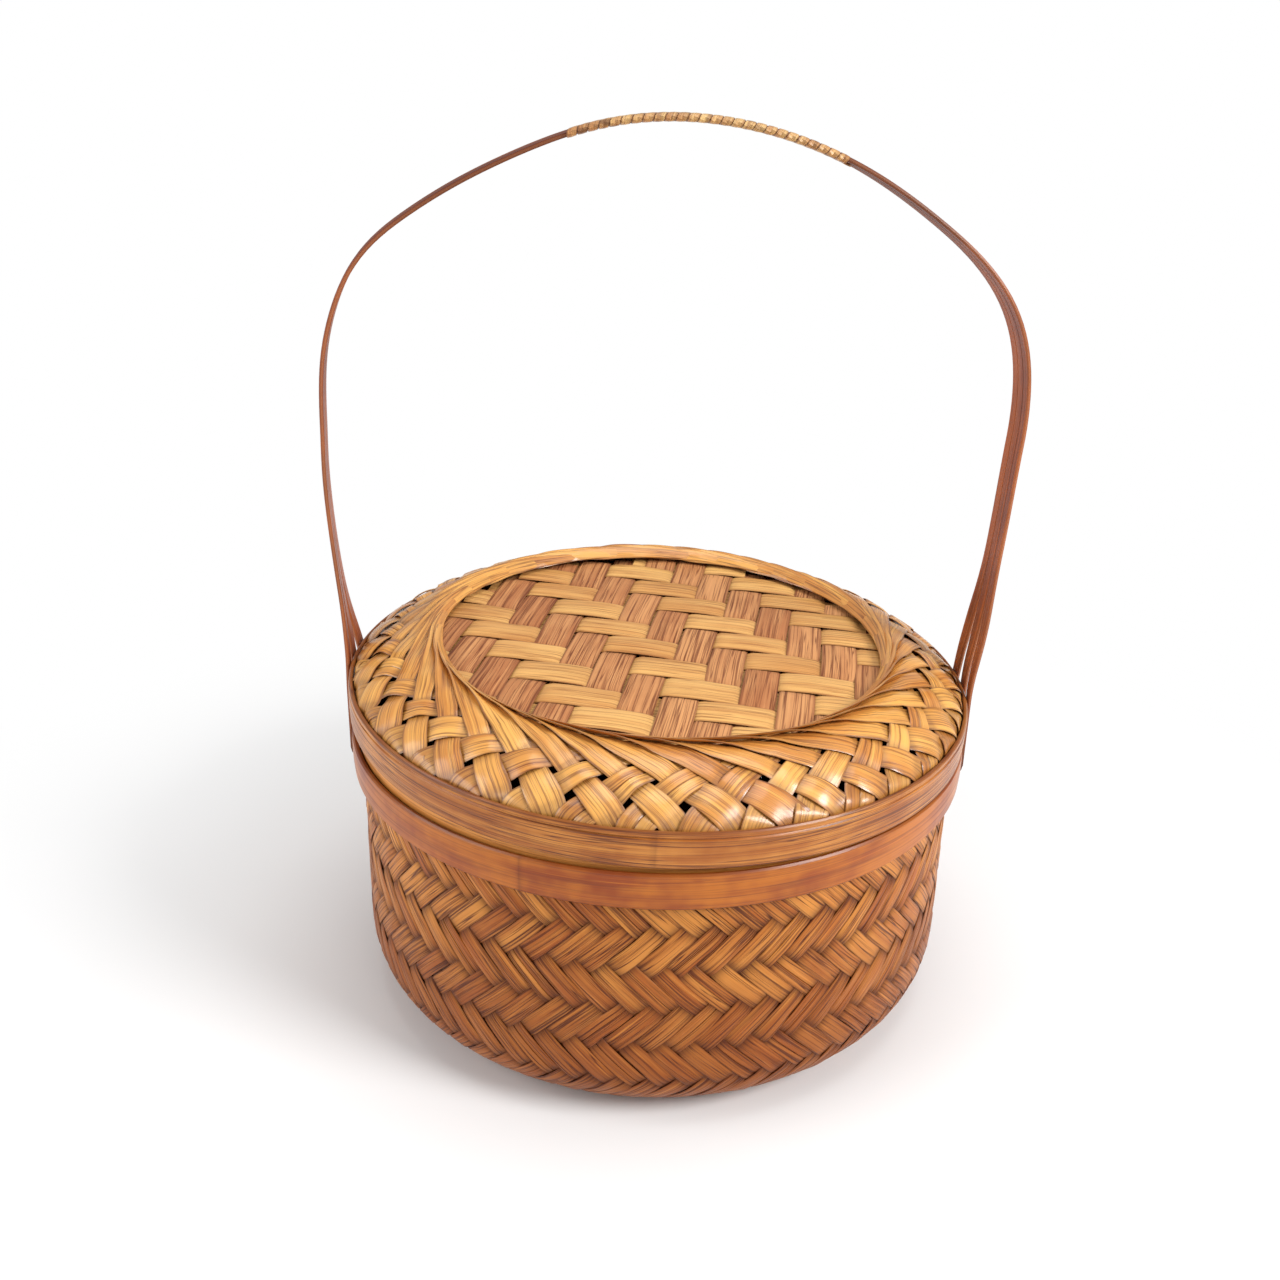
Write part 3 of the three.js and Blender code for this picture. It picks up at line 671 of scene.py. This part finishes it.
class RingStrip:
    """Course of one strip of the ring: tangent to the opening, then away from it and woven."""

    # How many crossings a strip has passed at each distance down the ring from its crown.
    distances = np.array([-17, 4.8, 10.2, 16.4, 20.7, 24.6, 27.5, 30, 33, 36, 57]) * MM
    levels = np.array([-4, 0, 1, 2, 2.56, 3, 3.31, 3.52, 3.70, 3.80, 3.8])
    peel_turn = 16.3  # degrees round in which a blade leaves the opening
    peel_rate = 0.027 * MM  # how far it is away then, over the square of those degrees
    last = 36.6 * MM  # distance at which the strips end, inside the hoop
    widening = slice(50)  # first places of the ring's line, on which its radius still grows

    def __init__(self, sizes, table, leans, turn, strand):
        self.sizes = sizes
        self.line, self.way_out, self.gone = table
        self.leans = leans
        self.turn = turn
        self.crossing = math.pi / sizes.ring_strips
        chance = random.Random(strand * 77 + leans)
        self.share = chance.uniform(0.88, 1.1)
        self.sway = chance.uniform(0, 100)
        self.hug = sizes.opening_radius + 0.5 * MM + chance.uniform(-0.5, 0.6) * MM
        self.peel_distance = self.distance_at(self.hug + sizes.ring_strip_width / 2
                                              + self.peel_rate * self.peel_turn ** 2)
        self.peel_level = np.interp(self.peel_distance, self.distances, self.levels)

    def distance_at(self, radius):
        """Distance down the ring at which it has a radius."""
        return np.interp(radius, self.line[self.widening, 0], self.gone[self.widening])

    def is_over(self, level):
        """Whether the strip lies on top at a crossing."""
        over = RING_OVER[min(max(level, 0), 5)]
        return over if self.leans > 0 else not over

    def place(self, distance, angle, rise, width, lean, worn):
        """Place on the ring's line. Strips grow wider towards the hoop."""
        width *= 1 + 0.4 * smooth((distance - 11 * MM) / (19 * MM))
        radius, height, out_r, out_z = section_at(distance, self.gone, self.line, self.way_out)
        return Place(polar(radius, angle, height), polar(out_r, angle, out_z), rise,
                     self.sizes.ring_strip_width * self.share * width, lean, worn)

    def bundle(self):
        """From beneath the bundle, narrowly along the opening, then widening and off outwards."""
        start = -44.0  # degrees round, where its narrow end lies beneath its neighbours
        places = []
        steps = 36
        for step in range(steps):
            turned = start + (self.peel_turn - start) * step / steps
            width = 0.2 + 0.8 * smooth((turned + 34) / 48)
            dive = smooth((-8 - turned) / 34)
            radius = (self.hug + width * self.sizes.ring_strip_width / 2
                      + self.peel_rate * max(turned, 0) ** 2 + 2.6 * MM * dive)
            distance = self.distance_at(radius)
            angle = (self.turn + self.peel_level * self.crossing
                     - math.radians(self.peel_turn - turned))
            rise = (self.sizes.ring_rise + 0.042 * MM * min(max(13 - turned, 0), 17)
                    - 2.5 * MM * dive)
            lean = -0.08 - 0.5 * smooth(1 - turned / self.peel_turn)
            # Painted shade: the strip darkens as it dives beneath its neighbours in the bundle.
            places.append(self.place(distance, angle, rise, width, lean, 0.15 + 0.7 * dive))
        return places

    def tail(self):
        """Beneath the bundle, ending short of the opening."""
        places = []
        for step in range(8):
            distance = self.peel_distance - 6 * MM * (1 - step / 8)
            level = np.interp(distance, self.distances, self.levels)
            angle = self.turn - level * self.crossing
            # Painted shade: the tail lies beneath the bundle and is painted dark.
            places.append(self.place(distance, angle, -self.sizes.ring_rise - 0.5 * MM, 1, 0, 0.8))
        return places

    def woven(self):
        """Over and under the strips that cross it, down to inside the hoop."""
        places = []
        steps = 36
        for step in range(steps + 1):
            distance = self.peel_distance + (self.last - self.peel_distance) * step / steps
            level = np.interp(distance, self.distances, self.levels)
            drift = wander(level * 0.5, self.sway, 3) * 0.02
            angle = self.turn + self.leans * level * self.crossing
            angle += drift * smooth(level + 0.3)
            arch = along_float(level, self.is_over)
            uneven = wander(level, self.sway, 8)
            room = smooth((36 * MM - distance) / (9 * MM))
            rise = level_side(level, self.is_over, 0.34) * self.sizes.ring_rise
            rise = rise * (0.55 + 0.45 * room) + arch * (0.5 + 0.5 * uneven) * room * MM
            # Painted shade: float ends darken where they pass under the crossing strips; upper
            # strips near the opening get only a light even darkening.
            worn = 0.2 if self.leans > 0 and level < 1.4 else 0.75 * (1 - arch)
            places.append(self.place(distance, angle, rise, 1 - 0.08 * uneven, 0.1 * uneven, worn))
        return places

    def course(self):
        """All places of the strip. Only one that leans left lies along the opening."""
        return (self.bundle() if self.leans > 0 else self.tail()) + self.woven()


class BASKET_OT_ring(bpy.types.Operator):
    """Weave the lid's open ring, whose upper strips swirl round the opening in a bundle"""

    bl_idname = "basket.ring"
    bl_label = "Weave Lid Ring"

    def execute(self, context):
        sizes = context.scene.basket_sizes
        tones = context.scene.basket_colours
        finish = bamboo("woven_ring", tones.ring, tones.ring_deep, tones.ring_dark, lines=0.65,
                        fine=1100.0, rough=0.32, coat=0.5, cracks=0.6, shine=0.5)
        table = ring_line(sizes)
        pitch = math.tau / sizes.ring_strips
        for name, leans, nodes in (("ring_strips_upper", 1, ("lid_shoulder",)),
                                   ("ring_strips_lower", -1, ())):
            piece = new_piece()
            for index in range(sizes.ring_strips):
                places = RingStrip(sizes, table, leans, index * pitch, index).course()
                stations = lay_stations(places, thick=0.5 * MM)
                is_split = leans < 0 and random.Random(index * 3).random() < 0.35
                for number, strip in enumerate(halves(stations) if is_split else [stations]):
                    lay_strip(piece, strip, crown=0.15 * MM,
                              strand=index + 60 + 0.41 * leans + 0.13 * number)
            seat_on_lid(piece, sizes)
            finish_piece(piece, name, finish, "lid", nodes)
        return {"FINISHED"}


def panel_over(warp, weft):
    """Whether the strip from front to back lies on top where two strips cross."""
    return (weft + warp) % 4 < 2


def panel_strip(sizes, index, is_warp, counts, pitches):
    """Places of one strip of the lid's centre, over and under two."""
    own, crossed = (0, 1) if is_warp else (1, 0)
    side = (index - (counts[own] - 1) / 2) * pitches[own]
    limit = sizes.opening_radius + 5 * MM
    reach = math.sqrt(limit ** 2 - side ** 2)
    chance = random.Random(index * 13 + own)
    sway = chance.uniform(0, 100)
    width = pitches[own] * (0.975 + chance.uniform(-0.03, 0.02))

    def is_over(crossing):
        return panel_over(index, crossing) if is_warp else not panel_over(crossing, index)

    height = sizes.lid_rise - 4.9 * MM
    places = []
    steps = max(int(2 * reach / pitches[crossed] * 8), 8)
    for step in range(steps + 1):
        along = reach * (2 * step / steps - 1)
        level = along / pitches[crossed] + (counts[crossed] - 1) / 2
        uneven = wander(level * 0.9, sway, 2)
        drift = wander(level * 0.3, sway, 7) * 1.3 * MM
        arch = along_float(level, is_over)
        rise = level_side(level, is_over, 0.16) * 0.5 * MM + arch * (0.45 + 0.3 * uneven) * MM
        spot = (side + drift, along) if is_warp else (along, side + drift)
        # The last value is painted shade at the ends of each float, where the strip tucks under the
        # strips it crosses.
        places.append(Place(Vector((*spot, height)), UP, rise, width, 0.02 * uneven,
                            0.6 * (1 - arch) ** 2))
    return places


class BASKET_OT_centre(bpy.types.Operator):
    """Weave the flat centre of the lid, over two strips and under two"""

    bl_idname = "basket.centre"
    bl_label = "Weave Lid Centre"

    def execute(self, context):
        sizes = context.scene.basket_sizes
        tones = context.scene.basket_colours
        counts = (sizes.warp_strips, sizes.weft_strips)
        pitches = (sizes.warp_pitch, sizes.weft_pitch)
        warp = bamboo("warp_finish", tones.warp, tones.warp_deep, tones.warp_dark, lines=0.85,
                      fine=900.0, rough=0.5, coat=0.05, bump=0.5, cracks=0.75)
        weft = bamboo("weft_finish", tones.weft, tones.weft_deep, tones.weft_dark, lines=0.5,
                      fine=800.0, rough=0.4, coat=0.1, cracks=0.65)
        turned = Matrix.Rotation(sizes.panel_turn, 4, "Z")
        for is_warp, name, finish in ((True, "warp", warp), (False, "weft", weft)):
            for index in range(counts[0 if is_warp else 1]):
                piece = new_piece()
                places = panel_strip(sizes, index, is_warp, counts, pitches)
                lay_strip(piece, lay_stations(places, thick=0.6 * MM), crown=0.2 * MM,
                          strand=index + (200.3 if is_warp else 300.7))
                bmesh.ops.transform(piece, matrix=turned, verts=piece.verts)
                seat_on_lid(piece, sizes)
                number = f"{index + 1:02d}"
                finish_piece(piece, f"centre_{name}_{number}", finish, "lid",
                             (f"lid_{name}_{number}",))
        return {"FINISHED"}


# Handle

STANDOFF = 1.3 * MM  # from the rim band to the middle of the strips that pass it
BULGE = 5.7 * MM  # further out than at the rim, at the shoulders
LEG_END = 150 * MM  # radius that brings the legs upright at the rim
FAN_HEIGHT = 185 * MM  # below this the strips spread apart
FAN_SPACING = 16 * MM  # between the strips at the rim

# Where the bail is bent unevenly: degrees round from the right, how widely, and how far out.
BENDS = ((19, 15, 4.3 * MM), (124, 20, -2.7 * MM), (154, 10, 1.9 * MM), (179, 9, -1.5 * MM))


def arc(centre, radius, start, stop, steps):
    """Points of an arc in the handle's plane, as distance out and height, without its start."""
    points = []
    for step in range(1, steps + 1):
        angle = start + (stop - start) * step / steps
        points.append((centre[0] + radius * math.sin(angle), centre[1] + radius * math.cos(angle)))
    return points


def skewed(point, centre):
    """A point of the handle moved in or out, as the bail is not bent quite evenly."""
    way = point - centre
    angle = (math.degrees(math.atan2(way.z, way.x)) + 90) % 360 - 90
    moved = sum(math.exp(-((angle - at) / spread) ** 2) * most for at, spread, most in BENDS)
    return point + way.normalized() * moved


def handle_line(sizes):
    """Middle line of the handle, from the left foot over the crown to the right foot."""
    square = math.pi / 2
    rim = sizes.rim_radius + STANDOFF
    widest = rim + BULGE
    side = widest - sizes.handle_shoulder
    crown_radius = sizes.handle_shoulder + side / math.sin(sizes.crown_angle)
    crown_height = sizes.handle_height - crown_radius
    shoulder = (side, crown_height
                + (crown_radius - sizes.handle_shoulder) * math.cos(sizes.crown_angle))
    drop = shoulder[1] - sizes.rim_height - 12.4 * MM
    leg_turn = 2 * math.atan(BULGE / drop)
    leg_radius = drop / math.sin(leg_turn) - LEG_END
    band_bottom = sizes.rim_height - sizes.band_height
    foot = wall_radius(sizes, band_bottom - 7 * MM) + 1.1 * MM
    right = [(0.0, sizes.handle_height)]
    right += arc((0, crown_height), crown_radius, 0, sizes.crown_angle, 36)
    right += arc(shoulder, sizes.handle_shoulder, sizes.crown_angle, square, 24)
    right += arc((widest - leg_radius, shoulder[1]), leg_radius, square, square + leg_turn, 20)
    right += arc((rim + LEG_END, shoulder[1] - drop), LEG_END, leg_turn - square, -square, 6)
    right += [(rim, band_bottom), (rim - 0.4 * MM, band_bottom - 2 * MM),
              (foot + 0.4 * MM, band_bottom - 4.5 * MM), (foot, band_bottom - 6 * MM),
              (foot, band_bottom - 8.6 * MM)]
    left = [(-x, z) for x, z in reversed(right[1:])]
    centre = Vector((0, 0, 235 * MM))
    points = [Vector((x, 0, z)) for x, z in left + right]
    return [skewed(point, centre) if point.z > 130 * MM else point for point in points]


def strip_width(sizes, height):
    """Width of a strip of the handle, which grows towards its foot."""
    return sizes.handle_strip_width * (1 + 0.36 * smooth((190 * MM - height) / (50 * MM)))


def strip_spacing(sizes, height):
    """From the middle strip of the handle to the outer ones."""
    together = strip_width(sizes, height) - 0.1 * MM
    fan = min(max((FAN_HEIGHT - height) / (FAN_HEIGHT - sizes.rim_height), 0.0), 1.0) ** 2.2
    return together + (FAN_SPACING - together) * fan


def handle_outward(line, index):
    """Way out from the handle's line, in its plane."""
    before = line[max(index - 1, 0)]
    after = line[min(index + 1, len(line) - 1)]
    along = (after - before).normalized()
    return Vector((-along.z, 0, along.x))


def handle_strip(sizes, line, place):
    """Stations of one of the three strips; `place` is -1 in front, 0 between and 1 behind."""
    rim = sizes.rim_radius + STANDOFF
    stations = []
    gone = 0.0
    for index, point in enumerate(line):
        aside = place * strip_spacing(sizes, point.z)
        roundness = point.x / rim
        free = smooth((point.z - 125 * MM) / (40 * MM))
        turned = Matrix.Rotation(aside / rim * roundness + sizes.handle_twist * free, 3, "Z")
        inset = aside ** 2 / (2 * rim) * roundness
        middle = Vector((point.x - inset - aside * math.sin(sizes.handle_twist * free), aside,
                         point.z))
        gone += (point - line[max(index - 1, 0)]).length
        # `low` is painted shade that darkens the strips towards their feet; `high` darkens them
        # towards the crown.
        low = smooth((140 * MM - point.z) / (35 * MM))
        high = smooth((point.z - 265 * MM) / (50 * MM))
        end = min(index, len(line) - 1 - index)
        width = strip_width(sizes, point.z) * (1 if end > 2 else 0.75 + 0.08 * end)
        stations.append(Station(middle, turned @ Vector((0, 1, 0)),
                                turned @ handle_outward(line, index), width,
                                sizes.handle_strip_thickness, gone, max(low * 0.9, high * 0.8)))
    return stations


class BASKET_OT_handle(bpy.types.Operator):
    """Bend the three dark strips of the bail handle, which spread apart down to the rim"""

    bl_idname = "basket.handle"
    bl_label = "Bend Handle"

    def execute(self, context):
        sizes = context.scene.basket_sizes
        tones = context.scene.basket_colours
        finish = bamboo("handle_skin", tones.handle, tones.handle_deep, tones.handle_dark,
                        lines=0.5, fine=900.0, rough=0.36, coat=0.1, patches=1.0, bump=0.25,
                        cracks=0.4, shine=0.2, drawn=0.008, rim=(0.42, 0.17, 0.075))
        line = handle_line(sizes)
        for place, name in ((-1, "front"), (0, "middle"), (1, "rear")):
            piece = new_piece()
            lay_strip(piece, handle_strip(sizes, line, place), crown=0.35 * MM, strand=400 + place)
            finish_piece(piece, f"bail_strip_{name}", finish, "basket",
                         (f"handle_strip_{name}",))
        return {"FINISHED"}


def cane_places(sizes, line, thick):
    """Places along the cane, wound in flat ovals from the underside of the handle."""
    lengths = np.concatenate([[0], np.cumsum([(b - a).length for a, b in zip(line, line[1:])])])
    lengths -= lengths[-1] / 2
    outs = [handle_outward(line, index) for index in range(len(line))]
    half_span = (3 * sizes.handle_strip_width) / 2 + 0.35 * MM
    half_tall = sizes.handle_strip_thickness / 2 + thick
    binding_middle = 11 * MM  # to the right of the crown, along the handle
    per_turn = 20
    places = []
    for step in range(sizes.cane_turns * per_turn + 1):
        angle = -math.tau * step / per_turn - math.pi / 2
        gone = binding_middle + (step / per_turn - sizes.cane_turns / 2) * sizes.cane_pitch
        centre, out = (Vector((np.interp(gone, lengths, [way.x for way in ways]), 0,
                               np.interp(gone, lengths, [way.z for way in ways])))
                       for ways in (line, outs))
        out.normalize()
        aside, up = math.cos(angle), math.sin(angle)
        flat = (abs(aside) ** 4 + abs(up) ** 4) ** -0.25
        facing = (Vector((0, aside * half_tall, 0)) + out * up * half_span).normalized()
        point = centre + Vector((0, aside * flat * half_span, 0)) + out * up * flat * half_tall
        stain = wander(step * 0.19, 4, 2) + 0.5 * wander(step * 0.05, 9, 1)
        places.append(Place(point, facing, 0.0, sizes.cane_width, 0.0,
                            min(max(0.25 + 1.5 * stain, 0.0), 0.95)))
    return places


class BASKET_OT_binding(bpy.types.Operator):
    """Wind the pale cane round the three strips at the top of the handle"""

    bl_idname = "basket.binding"
    bl_label = "Wind Binding"

    def execute(self, context):
        sizes = context.scene.basket_sizes
        tones = context.scene.basket_colours
        thick = 0.5 * MM
        piece = new_piece()
        lay_strip(piece, lay_stations(cane_places(sizes, handle_line(sizes), thick), thick),
                  crown=0.12 * MM, strand=500)
        finish = bamboo("cane_finish", tones.cane, tones.cane_deep, tones.cane_dark, lines=0.6,
                        fine=900.0, rough=0.38, coat=0.2, patches=1.6)
        finish_piece(piece, "cane_winding", finish, "basket", ("handle_binding",))
        return {"FINISHED"}


# Studio

def add_lamp(name, size, power, spot):
    """Round soft lamp, turned to the middle of the basket."""
    target = Vector((0, 0, 0.1))
    data = bpy.data.lights.new(name, "AREA")
    data.shape = "DISK"
    data.size = size
    data.energy = power
    lamp = bpy.data.objects.new(name, data)
    lamp.location = spot
    lamp.rotation_euler = (target - Vector(spot)).to_track_quat("-Z", "Y").to_euler()
    bpy.context.scene.collection.objects.link(lamp)


def floor_finish():
    """Pale floor that keeps the shadow near the basket and runs out to plain white."""
    nodes = Nodes("floor_finish")
    nodes.surface.inputs["Base Color"].default_value = (0.86, 0.86, 0.86, 1)
    nodes.surface.inputs["Roughness"].default_value = 0.9
    nodes.surface.inputs["Specular IOR Level"].default_value = 0.1
    there = nodes.add("ShaderNodeTexCoord").outputs["Object"]
    length = nodes.add("ShaderNodeVectorMath", operation="LENGTH")
    nodes.link(there, length.inputs[0])
    far = nodes.span(length.outputs["Value"], 0.16, 0.42)
    seen = nodes.add("ShaderNodeLightPath").outputs["Is Camera Ray"]
    white = nodes.add("ShaderNodeEmission")
    white.inputs["Color"].default_value = (1, 1, 1, 1)
    blend = nodes.add("ShaderNodeMixShader")
    nodes.link(nodes.math("MULTIPLY", far, seen), blend.inputs[0])
    nodes.link(nodes.surface.outputs[0], blend.inputs[1])
    nodes.link(white.outputs[0], blend.inputs[2])
    nodes.link(blend.outputs[0], nodes.tree.nodes["Material Output"].inputs["Surface"])
    return nodes.material


def studio_world():
    """Even white light, with a white background that only the camera sees."""
    world = bpy.data.worlds.new("studio")
    world.use_nodes = True
    tree = world.node_tree
    light = tree.nodes["Background"]
    light.inputs["Color"].default_value = (1, 1, 1, 1)
    light.inputs["Strength"].default_value = 0.42
    white = tree.nodes.new("ShaderNodeBackground")
    white.inputs["Color"].default_value = (1, 1, 1, 1)
    path = tree.nodes.new("ShaderNodeLightPath")
    blend = tree.nodes.new("ShaderNodeMixShader")
    tree.links.new(path.outputs["Is Camera Ray"], blend.inputs[0])
    tree.links.new(light.outputs[0], blend.inputs[1])
    tree.links.new(white.outputs[0], blend.inputs[2])
    tree.links.new(blend.outputs[0], tree.nodes["World Output"].inputs["Surface"])
    return world


def add_camera():
    """Camera in front of the basket and a little above its lid, rolled very slightly."""
    aim = Vector((0, 0, 0.133))
    distance = 0.5171
    tilt = math.radians(24.70)
    roll = math.radians(-1.727)
    forward = Vector((0, math.cos(tilt), -math.sin(tilt)))
    upright = Vector((0, math.sin(tilt), math.cos(tilt)))
    right = Vector((1, 0, 0))
    across = right * math.cos(roll) - upright * math.sin(roll)
    above = right * math.sin(roll) + upright * math.cos(roll)
    picture_width = 1280
    focal_length = 1241.8
    data = bpy.data.cameras.new("photo_camera")
    data.sensor_width = 36
    data.lens = focal_length / picture_width * data.sensor_width
    data.shift_x = (640 - 659.6) / picture_width
    data.shift_y = (664.6 - 640) / picture_width
    data.clip_start = 0.01
    camera = bpy.data.objects.new("photo_camera", data)
    placed = Matrix((across, above, -forward)).transposed().to_4x4()
    placed.translation = aim - forward * distance
    camera.matrix_world = placed
    bpy.context.scene.collection.objects.link(camera)
    bpy.context.scene.camera = camera


class BASKET_OT_stage(bpy.types.Operator):
    """Set out the floor, the soft lamps and the camera"""

    bl_idname = "basket.stage"
    bl_label = "Set Stage"

    def execute(self, context):
        floor = bmesh.new()
        bmesh.ops.create_grid(floor, x_segments=1, y_segments=1, size=6.0)
        mesh = bpy.data.meshes.new("studio_floor")
        floor.to_mesh(mesh)
        floor.free()
        mesh.materials.append(floor_finish())
        ground = bpy.data.objects.new("studio_floor", mesh)
        context.scene.collection.objects.link(ground)
        context.scene.world = studio_world()
        add_lamp("key_lamp", 0.6, 18, (1.05, -0.6, 0.95))
        add_lamp("fill_lamp", 1.2, 12, (-1.35, -0.45, 0.75))
        add_lamp("top_lamp", 1.0, 7, (0.1, 0.1, 1.5))
        add_camera()
        context.scene.view_settings.view_transform = "Standard"
        return {"FINISHED"}


# Settings

def length(name, description, value):
    """A size that the maker can change."""
    return FloatProperty(name=name, description=description, default=value, min=0.0,
                         unit="LENGTH", subtype="DISTANCE")


def tone(name, description, value):
    """A colour that the maker can change."""
    return FloatVectorProperty(name=name, description=description, default=value, size=3,
                               min=0.0, max=1.0, subtype="COLOR")


class BasketSizes(bpy.types.PropertyGroup):
    """Sizes of the basket's pieces"""

    rim_radius: length("Rim Radius", "Outside of the rim band and of the lid's hoop", 126 * MM)
    rim_height: length("Rim Height", "Top edge of the rim band", 114.2 * MM)
    band_height: length("Band Height", "Width of the rim band", 14.2 * MM)
    band_thickness: length("Band Thickness", "Thickness of the rim band", 1.8 * MM)
    filler_thickness: length("Filler Thickness", "Splint on the edge of the weave", 2.2 * MM)
    collar_radius: length("Collar Radius", "Outside of the collar", 120.8 * MM)
    corner_width: length("Corner Width", "Rounded bottom corner, inwards", 27.3 * MM)
    corner_height: length("Corner Height", "Rounded bottom corner, upwards", 27.2 * MM)
    weave_depth: length("Weave Depth", "From the outside to the middle of the weave", 1.25 * MM)
    weave_rise: length("Weave Rise", "How far a strip lies from that middle", 0.42 * MM)
    row_height: length("Row Height", "Lower edge of the highest full row of the weave", 88 * MM)
    wall_strip_thickness: length("Wall Strip Thickness", "Strips of the wall", 0.5 * MM)
    base_pitch: length("Base Pitch", "Between the strips of the base", 7.8 * MM)
    hoop_height: length("Hoop Height", "Width of the lid's hoop", 14.3 * MM)
    hoop_thickness: length("Hoop Thickness", "Thickness of the lid's hoop", 1.6 * MM)
    lid_rise: length("Lid Rise", "Highest part of the lid above its hoop", 15 * MM)
    crown_radius: length("Crown Radius", "Where the lid's ring is highest", 95 * MM)
    opening_radius: length("Opening Radius", "Inside of the lid's ring", 88 * MM)
    ring_strip_width: length("Ring Strip Width", "Strips of the lid's ring", 8.4 * MM)
    ring_rise: length("Ring Rise", "How far a strip lies from the middle of the ring", 0.5 * MM)
    warp_pitch: length("Warp Pitch", "Strips of the centre, front to back", 14.5 * MM)
    weft_pitch: length("Weft Pitch", "Strips of the centre, side to side", 16.2 * MM)
    handle_height: length("Handle Height", "Middle of the strips at the crown", 342 * MM)
    handle_shoulder: length("Handle Shoulder", "Radius of its tighter bends", 96.8 * MM)
    handle_strip_width: length("Handle Strip Width", "Each of the three strips", 4.7 * MM)
    handle_strip_thickness: length("Handle Strip Thickness", "Each strip", 1.35 * MM)
    cane_width: length("Cane Width", "Cane of the binding", 3.6 * MM)
    cane_pitch: length("Cane Pitch", "From turn to turn of the binding", 3.83 * MM)
    wall_slant: FloatProperty(name="Wall Slant", description="Slope of the wall's strips",
                              default=math.radians(46), subtype="ANGLE")
    lid_tilt: FloatProperty(name="Lid Tilt", description="How crooked the lid sits",
                            default=math.radians(1.91), subtype="ANGLE")
    handle_twist: FloatProperty(name="Handle Twist", description="Turn of the handle's strips",
                                default=math.radians(9.5), subtype="ANGLE")
    panel_turn: FloatProperty(name="Panel Turn", description="Turn of the lid's centre weave",
                              default=math.radians(-8.2), subtype="ANGLE")
    crown_angle: FloatProperty(name="Crown Angle", description="Half of the handle's top arc",
                               default=math.radians(41), subtype="ANGLE")
    wall_strips: IntProperty(name="Wall Strips", description="Strips each way", default=72)
    ring_strips: IntProperty(name="Ring Strips", description="Strips each way", default=38)
    warp_strips: IntProperty(name="Warp Strips", description="Front to back", default=13)
    weft_strips: IntProperty(name="Weft Strips", description="Side to side", default=12)
    cane_turns: IntProperty(name="Cane Turns", description="Turns of the binding", default=26)


class BasketColours(bpy.types.PropertyGroup):
    """Colours of the bamboo, before age and wear"""

    wall: tone("Wall", "Paler strips of the wall", (0.63, 0.245, 0.045))
    wall_deep: tone("Wall Deep", "Redder strips of the wall", (0.37, 0.092, 0.012))
    wall_dark: tone("Wall Dark", "Lines and ends in the wall", (0.10, 0.019, 0.003))
    band: tone("Band", "Rim band", (0.50, 0.142, 0.010))
    band_deep: tone("Band Deep", "Redder parts of the rim band", (0.28, 0.050, 0.004))
    band_dark: tone("Band Dark", "Marks on the rim band", (0.14, 0.026, 0.006))
    filler: tone("Filler", "Pale splints", (0.74, 0.31, 0.070))
    filler_deep: tone("Filler Deep", "Deeper parts of the pale splints", (0.46, 0.145, 0.026))
    hoop: tone("Hoop", "Lid's hoop", (0.62, 0.245, 0.046))
    hoop_deep: tone("Hoop Deep", "Redder parts of the lid's hoop", (0.36, 0.100, 0.013))
    hoop_dark: tone("Hoop Dark", "Lines in the lid's hoop", (0.13, 0.032, 0.009))
    ring: tone("Ring", "Paler strips of the lid's ring", (0.84, 0.425, 0.098))
    ring_deep: tone("Ring Deep", "Redder strips of the lid's ring", (0.57, 0.212, 0.038))
    ring_dark: tone("Ring Dark", "Lines and ends in the ring", (0.14, 0.030, 0.005))
    warp: tone("Warp", "Strips that run front to back", (0.66, 0.31, 0.120))
    warp_deep: tone("Warp Deep", "Darker of those strips", (0.44, 0.162, 0.057))
    warp_dark: tone("Warp Dark", "Lines in those strips", (0.15, 0.034, 0.010))
    weft: tone("Weft", "Strips that run side to side", (0.81, 0.46, 0.15))
    weft_deep: tone("Weft Deep", "Darker of those strips", (0.61, 0.28, 0.080))
    weft_dark: tone("Weft Dark", "Lines in those strips", (0.24, 0.066, 0.012))
    handle: tone("Handle", "Handle strips", (0.42, 0.100, 0.022))
    handle_deep: tone("Handle Deep", "Darker parts of the handle", (0.20, 0.034, 0.009))
    handle_dark: tone("Handle Dark", "Near black feet of the handle", (0.030, 0.010, 0.007))
    cane: tone("Cane", "Cane of the binding", (0.74, 0.50, 0.20))
    cane_deep: tone("Cane Deep", "Browner cane", (0.46, 0.21, 0.075))
    cane_dark: tone("Cane Dark", "Lines in the cane", (0.20, 0.075, 0.030))


class BASKET_PT_panel(bpy.types.Panel):
    """Pieces of the basket"""

    bl_label = "Bamboo Basket"
    bl_idname = "BASKET_PT_panel"
    bl_space_type = "VIEW_3D"
    bl_region_type = "UI"
    bl_category = "Basket"

    def draw(self, context):
        for maker in MAKERS:
            self.layout.operator(maker.bl_idname)
        for group in (context.scene.basket_sizes, context.scene.basket_colours):
            column = self.layout.column(align=True)
            for name in group.__annotations__:
                column.prop(group, name)


MAKERS = (BASKET_OT_wall, BASKET_OT_base, BASKET_OT_rim, BASKET_OT_lid_hoops, BASKET_OT_ring,
          BASKET_OT_centre, BASKET_OT_handle, BASKET_OT_binding, BASKET_OT_stage)
CLASSES = (BasketSizes, BasketColours, *MAKERS, BASKET_PT_panel)


def register():
    for made in CLASSES:
        bpy.utils.register_class(made)
    bpy.types.Scene.basket_sizes = PointerProperty(type=BasketSizes)
    bpy.types.Scene.basket_colours = PointerProperty(type=BasketColours)


def unregister():
    del bpy.types.Scene.basket_colours
    del bpy.types.Scene.basket_sizes
    for made in reversed(CLASSES):
        bpy.utils.unregister_class(made)


def main():
    """Make every piece of the basket and set out the stage."""
    register()
    bpy.ops.basket.wall()
    bpy.ops.basket.base()
    bpy.ops.basket.rim()
    bpy.ops.basket.lid_hoops()
    bpy.ops.basket.ring()
    bpy.ops.basket.centre()
    bpy.ops.basket.handle()
    bpy.ops.basket.binding()
    bpy.ops.basket.stage()


if __name__ == "__main__":
    main()
